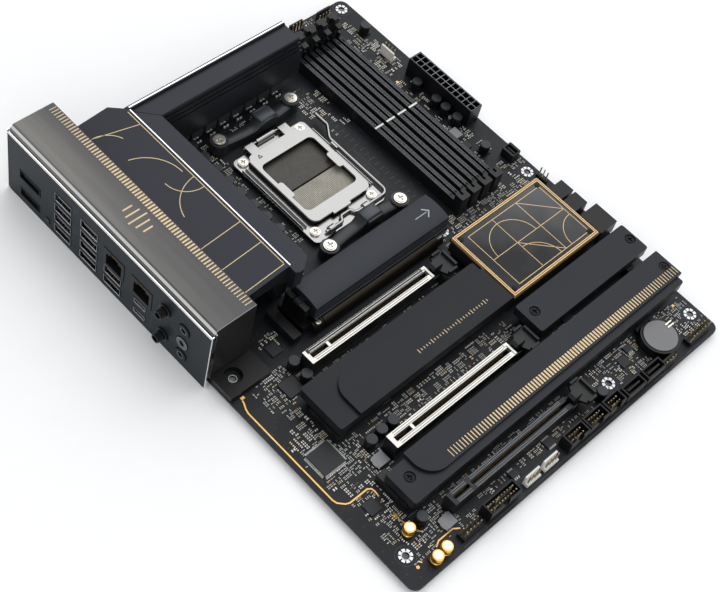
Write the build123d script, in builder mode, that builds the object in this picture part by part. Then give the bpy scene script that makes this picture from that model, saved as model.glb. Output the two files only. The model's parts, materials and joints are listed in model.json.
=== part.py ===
from build123d import *
import os

# Standard size mainboard, built as the separate pieces that a bench would give back.
# Millimetres. The frame stands on the centre of the rear bottom fixing hole, at the board's
# underside: +X runs to the front edge, +Y to the top edge with the memory latches, +Z up.
# Places are measured from the board's rear bottom corner, heights from its upper face.

os.makedirs("parts", exist_ok=True)

# ---- driving dimensions -------------------------------------------------------------------
BOARD_X = 243.84
BOARD_Y = 304.8
BOARD_T = 1.6
CORNER_R = 5.0
DATUM = (10.16, 16.51)
HOLE_R = 1.98

HOLE_COLUMNS = (10.16, 33.02, 165.10, 237.49)
HOLE_ROWS = (16.51, 140.97, 298.45)

SLOT_PITCH = 20.32
PCIE_FIRST_Y = 122.2
PCIE_PLACES = (0, 3, 5)
PCIE_X0 = 42.6
PCIE_LENGTH = 89.0
PCIE_WIDTH = 7.4
PCIE_TALL = 11.2

DIMM_COUNT = 4
DIMM_FIRST_X = 183.4
DIMM_PITCH = 9.27
DIMM_Y0 = 147.0
DIMM_Y1 = 277.5
DIMM_WIDTH = 6.8
DIMM_TALL = 8.6

CPU = (129.0, 213.0)
COOLER_X = 54.0
COOLER_Y = 90.0

IO_Y0 = 147.4
IO_Y1 = 306.2
IO_FACE_X = -3.0
IO_LOW = -4.2
IO_HIGH = 40.2
PLATE_T = 1.0
COVER_TOP = 45.0
COVER_T = 1.5

POWER_PITCH = 4.2
PIN_PITCH = 2.54

# ---- clearances ---------------------------------------------------------------------------
RUNNING = 0.08
BESIDE = 0.4
SEATED = 0.05

BOARD = Plane(origin=(-DATUM[0], -DATUM[1], 0))


def level(height):
    """The plane at a height above the board's upper face, measured from the board's corner."""
    return BOARD.offset(BOARD_T + height)


def section_at_y(y):
    """A plane across the board's height that faces -Y, with X to the right and Z up."""
    corner = (-DATUM[0], y - DATUM[1], BOARD_T)
    return Plane(origin=corner, x_dir=(1, 0, 0), z_dir=(0, -1, 0))


def section_at_x(x):
    """A plane across the board's height that faces +X, with Y to the right and Z up."""
    corner = (x - DATUM[0], -DATUM[1], BOARD_T)
    return Plane(origin=corner, x_dir=(0, 1, 0), z_dir=(1, 0, 0))


def block(x0, x1, y0, y1, z0, z1, mode=Mode.ADD, corner=0.0):
    """A box between two places and two heights, its upright edges rounded by corner."""
    with BuildSketch(level(z0)) as outline:
        with Locations(((x0 + x1) / 2, (y0 + y1) / 2)):
            if corner:
                RectangleRounded(x1 - x0, y1 - y0, corner)
            else:
                Rectangle(x1 - x0, y1 - y0)
    extrude(outline.sketch, amount=z1 - z0, mode=mode)


def post(x, y, radius, z0, z1, mode=Mode.ADD):
    """An upright round bar or hole."""
    with BuildSketch(level(z0)) as outline:
        with Locations((x, y)):
            Circle(radius)
    extrude(outline.sketch, amount=z1 - z0, mode=mode)


def rod_x(x0, x1, y, z, radius, mode=Mode.ADD):
    """A round bar or hole along X."""
    with BuildSketch(section_at_x(x0)) as outline:
        with Locations((y, z)):
            Circle(radius)
    extrude(outline.sketch, amount=x1 - x0, mode=mode)


def rod_y(y0, y1, x, z, radius, mode=Mode.ADD):
    """A round bar or hole along Y."""
    with BuildSketch(section_at_y(y1)) as outline:
        with Locations((x, z)):
            Circle(radius)
    extrude(outline.sketch, amount=y1 - y0, mode=mode)


def profile_x(x0, x1, points, mode=Mode.ADD):
    """A bar along X with a section given as (y, z) corners."""
    with BuildSketch(section_at_x(x0)) as outline:
        with BuildLine():
            Polyline(*points, close=True)
        make_face()
    extrude(outline.sketch, amount=x1 - x0, mode=mode)


def profile_y(y0, y1, points, mode=Mode.ADD):
    """A bar along Y with a section given as (x, z) corners."""
    with BuildSketch(section_at_y(y1)) as outline:
        with BuildLine():
            Polyline(*points, close=True)
        make_face()
    extrude(outline.sketch, amount=y1 - y0, mode=mode)


def pan_head_screw(x, y, z_seat, head_r, head_t, shank_r, shank_length, cross=0.8):
    """A screw with a domed head and a cross recess, its shank down from the seat."""
    post(x, y, head_r, z_seat, z_seat + head_t)
    post(x, y, head_r * 0.8, z_seat + head_t, z_seat + head_t + 0.4)
    post(x, y, shank_r, z_seat - shank_length, z_seat)
    top = z_seat + head_t + 0.4
    block(x - head_r * 0.55, x + head_r * 0.55, y - cross / 2, y + cross / 2,
          top - 1.0, top + 0.1, Mode.SUBTRACT)
    block(x - cross / 2, x + cross / 2, y - head_r * 0.55, y + head_r * 0.55,
          top - 1.0, top + 0.1, Mode.SUBTRACT)


# ---- board --------------------------------------------------------------------------------
STANDOFF_HOLES = (
    (HOLE_COLUMNS[0], HOLE_ROWS[0]), (HOLE_COLUMNS[0], HOLE_ROWS[1]),
    (HOLE_COLUMNS[1], HOLE_ROWS[2]),
    (HOLE_COLUMNS[2], HOLE_ROWS[0]), (HOLE_COLUMNS[2], HOLE_ROWS[1]),
    (HOLE_COLUMNS[2], HOLE_ROWS[2]),
    (HOLE_COLUMNS[3], HOLE_ROWS[0]), (HOLE_COLUMNS[3], HOLE_ROWS[1]),
    (HOLE_COLUMNS[3], HOLE_ROWS[2]),
)
COOLER_HOLES = tuple(
    (CPU[0] + i * COOLER_X / 2, CPU[1] + j * COOLER_Y / 2) for i in (-1, 1) for j in (-1, 1)
)
COOLER_SCREW_R = 1.75
COOLER_HOLE_R = COOLER_SCREW_R + 0.25

with BuildPart() as pcb:
    with BuildSketch(BOARD):
        with Locations((BOARD_X / 2, BOARD_Y / 2)):
            RectangleRounded(BOARD_X, BOARD_Y, CORNER_R)
        with Locations(*STANDOFF_HOLES):
            Circle(HOLE_R, mode=Mode.SUBTRACT)
        with Locations(*COOLER_HOLES):
            Circle(COOLER_HOLE_R, mode=Mode.SUBTRACT)
    extrude(amount=BOARD_T)
pcb.part.label = "pcb"
export_step(pcb.part, "parts/pcb.step")


# ---- processor socket ---------------------------------------------------------------------
HOUSING = (104.3, 152.3, 182.6, 242.0)
WINDOW = (108.8, 147.6, 192.5, 231.5)
WINDOW_R = 3.5
WINDOW_EAR_Y = (205.0, 216.6)
FIELD_SPLIT_Y = 210.0
FRAME = (99.9, 153.4, 175.0, 244.6)
FRAME_Z = (2.4, 3.6)
FRAME_SCREWS = ((104.6, 240.4), (147.6, 240.4), (104.6, 181.4), (147.6, 181.4))
FRAME_SCREW_R = 1.5
PLATE = (106.4, 150.6, 184.6, 240.6)
PLATE_Z = (5.8, 7.0)
HINGE_Y, HINGE_Z = 246.9, 5.2
HINGE_PIN_R = 0.8
HINGE_TABS = ((111.0, 117.0), (136.0, 142.0))
LEVER_Y, LEVER_Z = 177.4, 5.0
LEVER_R = 1.0
LEVER_LUGS = ((111.0, 115.0), (137.0, 141.0))
LEVER_X = 156.2

with BuildPart() as socket_housing:
    block(*HOUSING, 0, FRAME_Z[0], corner=2)
    block(HOUSING[0] + 2.2, HOUSING[1] - 2.2, HOUSING[2] + 3.4, HOUSING[3] - 3.4, FRAME_Z[0],
          PLATE_Z[0] - 1.2, corner=2)
    block(WINDOW[0] - 0.6, WINDOW[1] + 0.6, WINDOW[2] - 0.6, WINDOW[3] + 0.6, 1.6, 6,
          Mode.SUBTRACT, 2)
    for place in FRAME_SCREWS:
        post(*place, FRAME_SCREW_R + 2.2, -0.1, PLATE_Z[0], Mode.SUBTRACT)
socket_housing.part.label = "socket_housing"
export_step(socket_housing.part, "parts/socket_housing.step")

with BuildPart() as socket_contact_field:
    block(WINDOW[0] - 0.6 + SEATED, WINDOW[1] + 0.6 - SEATED, WINDOW[2] - 0.6 + SEATED,
          FIELD_SPLIT_Y - 0.5, 1.6, 3.2, corner=1.9)
    block(WINDOW[0] - 0.6 + SEATED, WINDOW[1] + 0.6 - SEATED, FIELD_SPLIT_Y + 0.5,
          WINDOW[3] + 0.6 - SEATED, 1.6, 3.2, corner=1.9)
socket_contact_field.part.label = "socket_contact_field"
export_step(socket_contact_field.part, "parts/socket_contact_field.step")

with BuildPart() as socket_frame:
    block(*FRAME, *FRAME_Z, corner=3)
    block(HOUSING[0] + 2.0, HOUSING[1] - 2.0, HOUSING[2] + 3.2, HOUSING[3] - 3.2, 2, 4,
          Mode.SUBTRACT, 2)
    for place in FRAME_SCREWS:
        post(*place, FRAME_SCREW_R + 2.0, 0, FRAME_Z[0])
        post(*place, FRAME_SCREW_R + SEATED, -1, 4, Mode.SUBTRACT)
    # Centre hinge lug with its pin at the top edge, and two lever lugs at the bottom edge.
    block(120, 133, FRAME[3] - 2, HINGE_Y, *FRAME_Z)
    rod_x(120, 133, HINGE_Y, HINGE_Z, 1.8)
    block(120, 133, HINGE_Y - 1.4, HINGE_Y + 1.4, FRAME_Z[0], HINGE_Z)
    rod_x(HINGE_TABS[0][0] - 0.6, HINGE_TABS[1][1] + 0.6, HINGE_Y, HINGE_Z, HINGE_PIN_R)
    for x0, x1 in LEVER_LUGS:
        rod_x(x0, x1, LEVER_Y, LEVER_Z, LEVER_R + 1.1)
        block(x0, x1, LEVER_Y - 1.6, LEVER_Y + 1.6, FRAME_Z[0], LEVER_Z)
        rod_x(x0 - 1, x1 + 1, LEVER_Y, LEVER_Z, LEVER_R + RUNNING, Mode.SUBTRACT)
    # Catch that the closed lever is hooked under.
    block(FRAME[1] - 1.0, FRAME[1] + 0.6, 216, 221, *FRAME_Z)
    block(FRAME[1] - 0.4, FRAME[1] + 0.6, 216, 221, FRAME_Z[0], 7.4)
socket_frame.part.label = "socket_frame"
export_step(socket_frame.part, "parts/socket_frame.step")

with BuildPart() as socket_frame_screws:
    for place in FRAME_SCREWS:
        pan_head_screw(*place, FRAME_Z[1], 2.9, 1.2, FRAME_SCREW_R, FRAME_Z[1], 0.9)
socket_frame_screws.part.label = "socket_frame_screws"
export_step(socket_frame_screws.part, "parts/socket_frame_screws.step")

with BuildPart() as socket_load_plate:
    block(*PLATE, *PLATE_Z, corner=4.5)
    block(*WINDOW, PLATE_Z[0] - 1, PLATE_Z[1] + 1, Mode.SUBTRACT, WINDOW_R)
    # Ears that press on both sides of the processor's lid.
    for x0, x1 in ((WINDOW[0] - 1, WINDOW[0] + 2.6), (WINDOW[1] - 2.6, WINDOW[1] + 1)):
        block(x0, x1, *WINDOW_EAR_Y, PLATE_Z[0], PLATE_Z[1], corner=1.7)
    # Clear round the four frame screws.
    for place in FRAME_SCREWS:
        post(*place, 3.5, PLATE_Z[0] - 1, PLATE_Z[1] + 1, Mode.SUBTRACT)
    # Nose under the lever's crank, and the hinge tabs rolled round the pin.
    block(120, 133, PLATE[2] - 1.6, PLATE[2] + 1, *PLATE_Z, corner=0.9)
    for x0, x1 in HINGE_TABS:
        block(x0, x1, PLATE[3] - 1, HINGE_Y, *PLATE_Z)
        rod_x(x0, x1, HINGE_Y, HINGE_Z, PLATE_Z[1] - HINGE_Z)
        rod_x(x0 - 1, x1 + 1, HINGE_Y, HINGE_Z, HINGE_PIN_R + RUNNING, Mode.SUBTRACT)
socket_load_plate.part.label = "socket_load_plate"
export_step(socket_load_plate.part, "parts/socket_load_plate.step")

with BuildPart() as socket_lever:
    with BuildLine(level(LEVER_Z)) as lever_route:
        FilletPolyline(
            (109, LEVER_Y), (121, LEVER_Y), (123, LEVER_Y + 3.2), (130, LEVER_Y + 3.2),
            (132, LEVER_Y), (LEVER_X, LEVER_Y), (LEVER_X, 225), (LEVER_X + 6, 233),
            (LEVER_X + 6, 243), radius=(1.5, 1.5, 1.5, 1.5, 4, 6, 4))
    with BuildSketch(section_at_x(109)):
        with Locations((LEVER_Y, LEVER_Z)):
            Circle(LEVER_R)
    sweep()
socket_lever.part.label = "socket_lever"
export_step(socket_lever.part, "parts/socket_lever.step")

with BuildPart() as cooler_backplate:
    with BuildSketch(BOARD):
        with Locations(CPU):
            RectangleRounded(COOLER_X + 12, COOLER_Y + 12, 6)
            RectangleRounded(COOLER_X - 22, COOLER_Y - 50, 4, mode=Mode.SUBTRACT)
        with Locations(*COOLER_HOLES):
            Circle(COOLER_SCREW_R + SEATED, mode=Mode.SUBTRACT)
    extrude(amount=-2.2)
cooler_backplate.part.label = "cooler_backplate"
export_step(cooler_backplate.part, "parts/cooler_backplate.step")

BRACKET_Z = 5.0
BOSS_Z = 7.4

with BuildPart() as cooler_brackets:
    for side in (-1, 1):
        y = CPU[1] + side * COOLER_Y / 2
        with BuildSketch(level(0)) as outline:
            with BuildLine():
                ends = ((CPU[0] - COOLER_X / 2, y), (CPU[0] + COOLER_X / 2, y))
                crown = (CPU[0], y - side * 2.4)
                ThreePointArc(ends[0], crown, ends[1])
            trace(line_width=6.2)
        extrude(outline.sketch, amount=BRACKET_Z)
        for x in (CPU[0] - COOLER_X / 2, CPU[0] + COOLER_X / 2):
            post(x, y, 4.6, 0, BOSS_Z)
            post(x, y, COOLER_SCREW_R + SEATED, -1, BOSS_Z + 1, Mode.SUBTRACT)
        # Clip lug with a lip on its outer side.
        lug_x = CPU[0] + 6
        block(lug_x - 8, lug_x + 8, y - 3.6, y + 3.6, BRACKET_Z - 1, 12.5, corner=1.5)
        low, high = sorted((y + side * 3.6, y + side * 5.0))
        block(lug_x - 8, lug_x + 8, min(low, high) - 0.2, max(low, high) + 0.2, 9.4, 12.5,
              corner=0.8)
cooler_brackets.part.label = "cooler_brackets"
export_step(cooler_brackets.part, "parts/cooler_brackets.step")

with BuildPart() as cooler_bracket_screws:
    for place in COOLER_HOLES:
        pan_head_screw(*place, BOSS_Z, 3.7, 1.6, COOLER_SCREW_R,
                       BOSS_Z + BOARD_T + 2.0, 1.0)
cooler_bracket_screws.part.label = "cooler_bracket_screws"
export_step(cooler_bracket_screws.part, "parts/cooler_bracket_screws.step")


# ---- memory slots -------------------------------------------------------------------------
LATCH_Y, LATCH_Z = 281.0, 4.5
LATCH_PIN_R = 1.3
LATCH_HALF = 1.9
CHEEK_T = 1.0
KEY_Y = 212.5


def dimm_centre(number):
    """X of a memory slot's middle, the first slot nearest the processor."""
    return DIMM_FIRST_X + DIMM_PITCH * number


with BuildPart() as dimm_slots:
    for number in range(DIMM_COUNT):
        x = dimm_centre(number)
        half = DIMM_WIDTH / 2
        block(x - half, x + half, DIMM_Y0, DIMM_Y1, 0, DIMM_TALL)
        # Fixed end post with the guide groove for the module's edge.
        block(x - half, x + half, DIMM_Y0 - 3.5, DIMM_Y0 + 2.5, 0, 13.5, corner=0.8)
        # Two cheeks that carry the latch.
        block(x - half, x + half, DIMM_Y1, LATCH_Y + 3.6, 0, 11.0)
        block(x - LATCH_HALF - BESIDE / 2, x + LATCH_HALF + BESIDE / 2, DIMM_Y1, LATCH_Y + 4, 0.6,
              12, Mode.SUBTRACT)
        rod_x(x - half - 1, x + half + 1, LATCH_Y, LATCH_Z, LATCH_PIN_R + RUNNING,
              Mode.SUBTRACT)
        # Module groove on both sides of the key.
        block(x - 0.8, x + 0.8, DIMM_Y0 - 0.5, KEY_Y - 1.0, 3.2, 15, Mode.SUBTRACT)
        block(x - 0.8, x + 0.8, KEY_Y + 1.0, DIMM_Y1 + 1, 3.2, 15, Mode.SUBTRACT)
        for side in (-1, 1):
            y0, y1 = DIMM_Y0 + 5, DIMM_Y1 - 3
            low, high = sorted((x + side * 1.6, x + side * 2.4))
            block(low, high, y0, y1, DIMM_TALL - 0.5, DIMM_TALL + 1, Mode.SUBTRACT)
dimm_slots.part.label = "dimm_slots"
export_step(dimm_slots.part, "parts/dimm_slots.step")

for number in range(DIMM_COUNT):
    x = dimm_centre(number)
    with BuildPart() as dimm_latch:
        with BuildSketch(section_at_x(x - LATCH_HALF)) as outline:
            with BuildLine():
                Polyline(
                    (LATCH_Y - 2.2, 2.6), (LATCH_Y + 2.2, 1.6), (LATCH_Y + 2.4, 12),
                    (LATCH_Y + 5.6, 20.6), (LATCH_Y + 4.2, 22), (LATCH_Y - 1.0, 22),
                    (LATCH_Y - 1.6, 19), (LATCH_Y - 5.2, 18.4), (LATCH_Y - 5.2, 16.8),
                    (LATCH_Y - 2.2, 15.2), close=True)
            make_face()
        extrude(outline.sketch, amount=2 * LATCH_HALF)
        # Wider thumb pad above the cheeks.
        block(x - DIMM_WIDTH / 2, x + DIMM_WIDTH / 2, LATCH_Y + 1.2, LATCH_Y + 4.6, 17.6, 22,
              corner=0.8)
        # Trunnions in the cheeks.
        rod_x(x - DIMM_WIDTH / 2, x + DIMM_WIDTH / 2, LATCH_Y, LATCH_Z, LATCH_PIN_R)
    dimm_latch.part.label = f"dimm_latch_{number + 1}"
    export_step(dimm_latch.part, f"parts/dimm_latch_{number + 1}.step")


# ---- expansion slots ----------------------------------------------------------------------
SHIELD_T = 0.5
SHIELD_FLANGE = 0.5
PCIE_KEY_X = 56.7
PIVOT_IN = 4.6
PIVOT_Z = 3.4
PADDLE_END = 17.0
PADDLE_HALF = 7.4


def pcie_centre(place):
    """Y of an expansion slot's middle, counted down from the uppermost."""
    return PCIE_FIRST_Y - SLOT_PITCH * place


PCIE_X1 = PCIE_X0 + PCIE_LENGTH

with BuildPart() as pcie_slots:
    for place in PCIE_PLACES:
        y = pcie_centre(place)
        half = PCIE_WIDTH / 2
        block(PCIE_X0, PCIE_X1, y - half, y + half, 0, PCIE_TALL)
        # Fork with two cheeks for the card latch.
        block(PCIE_X1, PCIE_X1 + 7.6, y - half, y + half, 0, 6.8)
        block(PCIE_X1, PCIE_X1 + 9, y - 2.6, y + 2.6, 0.6, 8, Mode.SUBTRACT)
        rod_y(y - half - 1, y + half + 1, PCIE_X1 + PIVOT_IN, PIVOT_Z, LATCH_PIN_R + RUNNING,
              Mode.SUBTRACT)
        # Card groove on both sides of the key.
        block(PCIE_X0 + 2.2, PCIE_KEY_X - 0.9, y - 0.9, y + 0.9, 3, 13, Mode.SUBTRACT)
        block(PCIE_KEY_X + 0.9, PCIE_X1 + 1, y - 0.9, y + 0.9, 3, 13, Mode.SUBTRACT)
pcie_slots.part.label = "pcie_slots"
export_step(pcie_slots.part, "parts/pcie_slots.step")

with BuildPart() as pcie_shields:
    for place in PCIE_PLACES[:2]:
        y = pcie_centre(place)
        half = PCIE_WIDTH / 2 + SHIELD_T
        block(PCIE_X0 - SHIELD_T, PCIE_X1, y - half, y + half, 0.8, PCIE_TALL + SHIELD_T,
              corner=0.4)
        block(PCIE_X0, PCIE_X1 + 1, y - PCIE_WIDTH / 2, y + PCIE_WIDTH / 2, 0, PCIE_TALL,
              Mode.SUBTRACT)
        block(PCIE_X0 + 1.6, PCIE_X1 + 1, y - 1.5, y + 1.5, PCIE_TALL - 1, PCIE_TALL + 1,
              Mode.SUBTRACT)
        for side in (-1, 1):
            low, high = sorted((y + side * (half - 0.1), y + side * (half + SHIELD_FLANGE)))
            block(PCIE_X0 - SHIELD_T, PCIE_X1, low, high, 0.8, 1.6)
pcie_shields.part.label = "pcie_shields"
export_step(pcie_shields.part, "parts/pcie_shields.step")

for number, place in enumerate(PCIE_PLACES):
    y = pcie_centre(place)
    pivot_x = PCIE_X1 + PIVOT_IN
    with BuildPart() as pcie_latch:
        profile_y(y - 2.2, y + 2.2, (
            (pivot_x - 2.0, 1.8), (pivot_x + 2.0, 1.6), (pivot_x + 2.6, 6.8),
            (pivot_x + 3.4, 12.4), (pivot_x + 2.4, 15.0), (pivot_x - 2.6, 15.0),
            (pivot_x - 4.2, 13.6), (pivot_x - 4.2, 12.6), (pivot_x - 2.0, 11.6)))
        rod_y(y - PCIE_WIDTH / 2, y + PCIE_WIDTH / 2, pivot_x, PIVOT_Z, LATCH_PIN_R)
        # Winged paddle that the finger presses down.
        with BuildSketch(level(7.6)) as outline:
            with BuildLine():
                Polyline(
                    (pivot_x + 1.6, y - 2.2), (pivot_x + 4.2, y - PADDLE_HALF),
                    (PCIE_X1 + PADDLE_END - 1.4, y - PADDLE_HALF),
                    (PCIE_X1 + PADDLE_END, y - PADDLE_HALF + 2),
                    (PCIE_X1 + PADDLE_END, y + PADDLE_HALF - 2),
                    (PCIE_X1 + PADDLE_END - 1.4, y + PADDLE_HALF),
                    (pivot_x + 4.2, y + PADDLE_HALF), (pivot_x + 1.6, y + 2.2), close=True)
            make_face()
        extrude(outline.sketch, amount=1.6)
        # Raised rim of the paddle, and the rib behind the hook.
        block(PCIE_X1 + PADDLE_END - 1.6, PCIE_X1 + PADDLE_END, y - PADDLE_HALF + 2,
              y + PADDLE_HALF - 2, 9.2, 11.0)
        for side in (-1, 1):
            low, high = sorted((y + side * (PADDLE_HALF - 1.4), y + side * PADDLE_HALF))
            block(pivot_x + 4.4, PCIE_X1 + PADDLE_END - 2, low, high, 9.2, 11.0)
    pcie_latch.part.label = f"pcie_latch_{number + 1}"
    export_step(pcie_latch.part, f"parts/pcie_latch_{number + 1}.step")


# ---- drive slots and their heat spreaders -------------------------------------------------
SPREADER_Z = (8.0, 14.0)
PANEL_Z = 16.0
PANEL_R = 12.0
SHOULDER_R = 2.9
DRIVE_SCREW_R = 1.5
UPPER_DRIVE = (61.5, 160.7, 137.6, 156.6)
UPPER_Z = (10.4, 20.6)
UPPER_CROWN = 21.8
MIDDLE_BASE = (26.0, 153.0, 81.0, 111.0)
MIDDLE_PANEL = (39.0, 153.0, 81.0, 104.5)
RIGHT_BASE = (150.6, 242.0, 57.2, 77.0)
LOWER_BASE = (26.0, 240.0, 29.4, 50.4)
LOWER_PANEL = (40.0, 242.2, 33.6, 52.4)
MIDDLE_FEET = ((34.2, 106.0), (147.5, 106.6))
SPREADER_SCREWS = (
    (157.2, 68.4), (238.0, 67.4),
    (34.2, 41.6), (237.4, 42.6),
)
CARRIER_Z = (3.0, 6.6)
RAIL_R = 4.8
# The upper spreader turns on a pin between two cheeks behind it.
TILT_X, TILT_Z = 58.9, 16.2
TILT_PIN_R = 1.0
KNUCKLE_R = 1.7
KNUCKLE_Y = (146.6, 150.8)


M2_SOCKETS = ((50.4, 148.0), (29.4, 92.0), (229.6, 66.6), (29.4, 44.0))
M2_SOCKET_LENGTH = 21.8
M2_SOCKET_DEPTH = 5.8
M2_SOCKET_TALL = 5.6


def socket_space(x, y):
    """Cut away what would stand where a drive socket is."""
    half, width = M2_SOCKET_DEPTH / 2 + BESIDE, M2_SOCKET_LENGTH / 2 + BESIDE
    block(x - half, x + half, y - width, y + width, -1, M2_SOCKET_TALL + BESIDE,
          Mode.SUBTRACT)


def drive_spreader(base, panel, screws, foot, feet=()):
    """A flat heat spreader with a raised panel, standing on feet round its screws."""
    block(*base, *SPREADER_Z, corner=1.5)
    if panel:
        with BuildSketch(level(SPREADER_Z[1] - 0.5)) as outline:
            with Locations(((panel[0] + panel[1]) / 2, (panel[2] + panel[3]) / 2)):
                Rectangle(panel[1] - panel[0], panel[3] - panel[2])
            corner = outline.vertices().sort_by(Axis.X)[:2].sort_by(Axis.Y)[foot]
            fillet(corner, PANEL_R)
        extrude(outline.sketch, amount=PANEL_Z - SPREADER_Z[1] + 0.5)
    for x, y in (*screws, *feet):
        post(x, y, 4.2, 0, SPREADER_Z[0] + 0.1)
    for x, y in M2_SOCKETS[1:]:
        socket_space(x, y)
    for x, y in screws:
        post(x, y, SHOULDER_R + 0.3, SPREADER_Z[1] - 2.0, PANEL_Z + 1, Mode.SUBTRACT)
        post(x, y, DRIVE_SCREW_R + SEATED, -1, PANEL_Z, Mode.SUBTRACT)


with BuildPart() as m2_heatsink_middle:
    drive_spreader(MIDDLE_BASE, MIDDLE_PANEL, (), -1, MIDDLE_FEET)
m2_heatsink_middle.part.label = "m2_heatsink_middle"
export_step(m2_heatsink_middle.part, "parts/m2_heatsink_middle.step")

with BuildPart() as m2_heatsink_right:
    drive_spreader(RIGHT_BASE, None, SPREADER_SCREWS[0:2], 0)
m2_heatsink_right.part.label = "m2_heatsink_right"
export_step(m2_heatsink_right.part, "parts/m2_heatsink_right.step")

with BuildPart() as m2_heatsink_lower:
    drive_spreader(LOWER_BASE, LOWER_PANEL, SPREADER_SCREWS[2:4], 0)
m2_heatsink_lower.part.label = "m2_heatsink_lower"
export_step(m2_heatsink_lower.part, "parts/m2_heatsink_lower.step")

with BuildPart() as m2_carrier_upper:
    x0, x1, y0, y1 = UPPER_DRIVE
    rail_y = y0 + 1.0
    block(x0 - 6.5, x1 + 5.6, rail_y, y1 + 1.4, *CARRIER_Z, corner=1.0)
    # Half-round rail along the front edge, with a slit near its rear end.
    rod_x(x0 - 1.0, x1 - 3.7, rail_y, CARRIER_Z[0], RAIL_R)
    block(x0 + 5.5, x0 + 6.1, rail_y - RAIL_R - 1, rail_y - 0.5, -3, 10, Mode.SUBTRACT)
    block(x0 - 8, x1 + 8, rail_y - 8, rail_y + 8, -3, CARRIER_Z[0], Mode.SUBTRACT)
    for x in (x0 + 4.5, x1 - 6.7):
        for y in (y0 - 0.6, y1 - 1.1):
            post(x, y, 2.4, 0, CARRIER_Z[0] + 0.1)
    # End walls that the spreader stands on, and the cheeks that hold its pin.
    block(x0 + 3.0, x0 + 5.5, y0 + 3.4, y1 - 0.6, CARRIER_Z[1] - 0.1, UPPER_Z[0])
    block(x1 - 5.2, x1 - 2.7, y0 + 3.4, y1 - 0.6, CARRIER_Z[1] - 0.1, UPPER_Z[0])
    block(x0 - 4.7, x0 - 0.9, y0 + 3.4, y1 - 0.2, CARRIER_Z[1] - 0.1, TILT_Z + 1.8)
    block(x0 - 5, x0, KNUCKLE_Y[0] - BESIDE, KNUCKLE_Y[1] + BESIDE, TILT_Z - 3.6, TILT_Z + 4,
          Mode.SUBTRACT)
    rod_y(KNUCKLE_Y[0] - 3, KNUCKLE_Y[1] + 3, TILT_X, TILT_Z, TILT_PIN_R + RUNNING,
          Mode.SUBTRACT)
m2_carrier_upper.part.label = "m2_carrier_upper"
export_step(m2_carrier_upper.part, "parts/m2_carrier_upper.step")

with BuildPart() as m2_heatsink_upper:
    x0, x1, y0, y1 = UPPER_DRIVE
    low, high = UPPER_Z
    with BuildSketch(section_at_x(x0)) as outline:
        with BuildLine():
            Polyline((y0, high - 1.0), (y0, low + 0.9), (y0 - 0.7, low + 0.9), (y0 - 0.7, low),
                     (y1, low), (y1, high))
            ThreePointArc((y1, high), ((y0 + y1) / 2, UPPER_CROWN - 0.2), (y0, high - 1.0))
        make_face()
        # Grooves along the front face.
        for z in (low + 2.4, low + 4.0, low + 5.6, low + 7.2):
            with Locations((y0, z)):
                Rectangle(1.0, 0.6, mode=Mode.SUBTRACT)
    extrude(outline.sketch, amount=x1 - x0)
    # Recess in the far end face, over the release latch.
    block(x1 - 1.6, x1 + 1, y0 + 2, y1 - 5, low + 2.4, high - 4, Mode.SUBTRACT)
    # Knuckle and pin at the rear.
    rod_y(*KNUCKLE_Y, TILT_X, TILT_Z, KNUCKLE_R)
    block(TILT_X, x0 + 0.1, *KNUCKLE_Y, TILT_Z - 1.5, TILT_Z + 1.5)
    rod_y(KNUCKLE_Y[0] - 2.6, KNUCKLE_Y[1] + 2.6, TILT_X, TILT_Z, TILT_PIN_R)
m2_heatsink_upper.part.label = "m2_heatsink_upper"
export_step(m2_heatsink_upper.part, "parts/m2_heatsink_upper.step")

# The latch slides out along X from under the spreader's far edge.
LATCH_TRAVEL = 2.5
LATCH_SPAN = (140.0, 146.0)

with BuildPart() as m2_release_latch:
    x1 = UPPER_DRIVE[1]
    top = UPPER_Z[0] - 0.4
    profile_y(*LATCH_SPAN, (
        (x1 - 1.9, CARRIER_Z[1]), (x1 + LATCH_TRAVEL + 2.4, CARRIER_Z[1]),
        (x1 + LATCH_TRAVEL + 2.4, top + 1.4), (x1 + LATCH_TRAVEL + 1.6, top + 2.4),
        (x1 + 1.2, top + 2.4), (x1 + 1.2, top), (x1 - 1.9, top)))
m2_release_latch.part.label = "m2_release_latch"
export_step(m2_release_latch.part, "parts/m2_release_latch.step")

with BuildPart() as m2_connectors:
    for number, (x, y) in enumerate(M2_SOCKETS):
        width = M2_SOCKET_LENGTH / 2
        half = M2_SOCKET_DEPTH / 2
        block(x - half, x + half, y - width, y + width, 0, M2_SOCKET_TALL, corner=0.6)
        # The card slot faces the drive bay.
        side = -1 if x > BOARD_X / 2 else 1
        low, high = sorted((x + side * (half - 5.0), x + side * (half + 1)))
        block(low, high, y - width + 0.8, y + width - 0.8, 2.6, 3.6, Mode.SUBTRACT)
m2_connectors.part.label = "m2_connectors"
export_step(m2_connectors.part, "parts/m2_connectors.step")

with BuildPart() as heatsink_screws:
    for x, y in SPREADER_SCREWS:
        pan_head_screw(x, y, SPREADER_Z[1] - 2.0, SHOULDER_R, 1.3, DRIVE_SCREW_R,
                       SPREADER_Z[1] - 2.0, 0.9)
heatsink_screws.part.label = "heatsink_screws"
export_step(heatsink_screws.part, "parts/heatsink_screws.step")


# ---- chipset ------------------------------------------------------------------------------
CHIPSET = (154.6, 227.2, 80.6, 129.8)
CHIPSET_TOP = 14.5
CHIPSET_PLACE = (190.9, 105.2)
CHIPSET_RIM = 2.6
CHIPSET_PACKAGE = 24.0

with BuildPart() as chipset_package:
    half = CHIPSET_PACKAGE / 2
    x, y = CHIPSET_PLACE
    block(x - half, x + half, y - half, y + half, 0, 1.0)
    block(x - half / 2, x + half / 2, y - half / 2, y + half / 2, 1.0, 1.8)
chipset_package.part.label = "chipset_package"
export_step(chipset_package.part, "parts/chipset_package.step")

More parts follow.
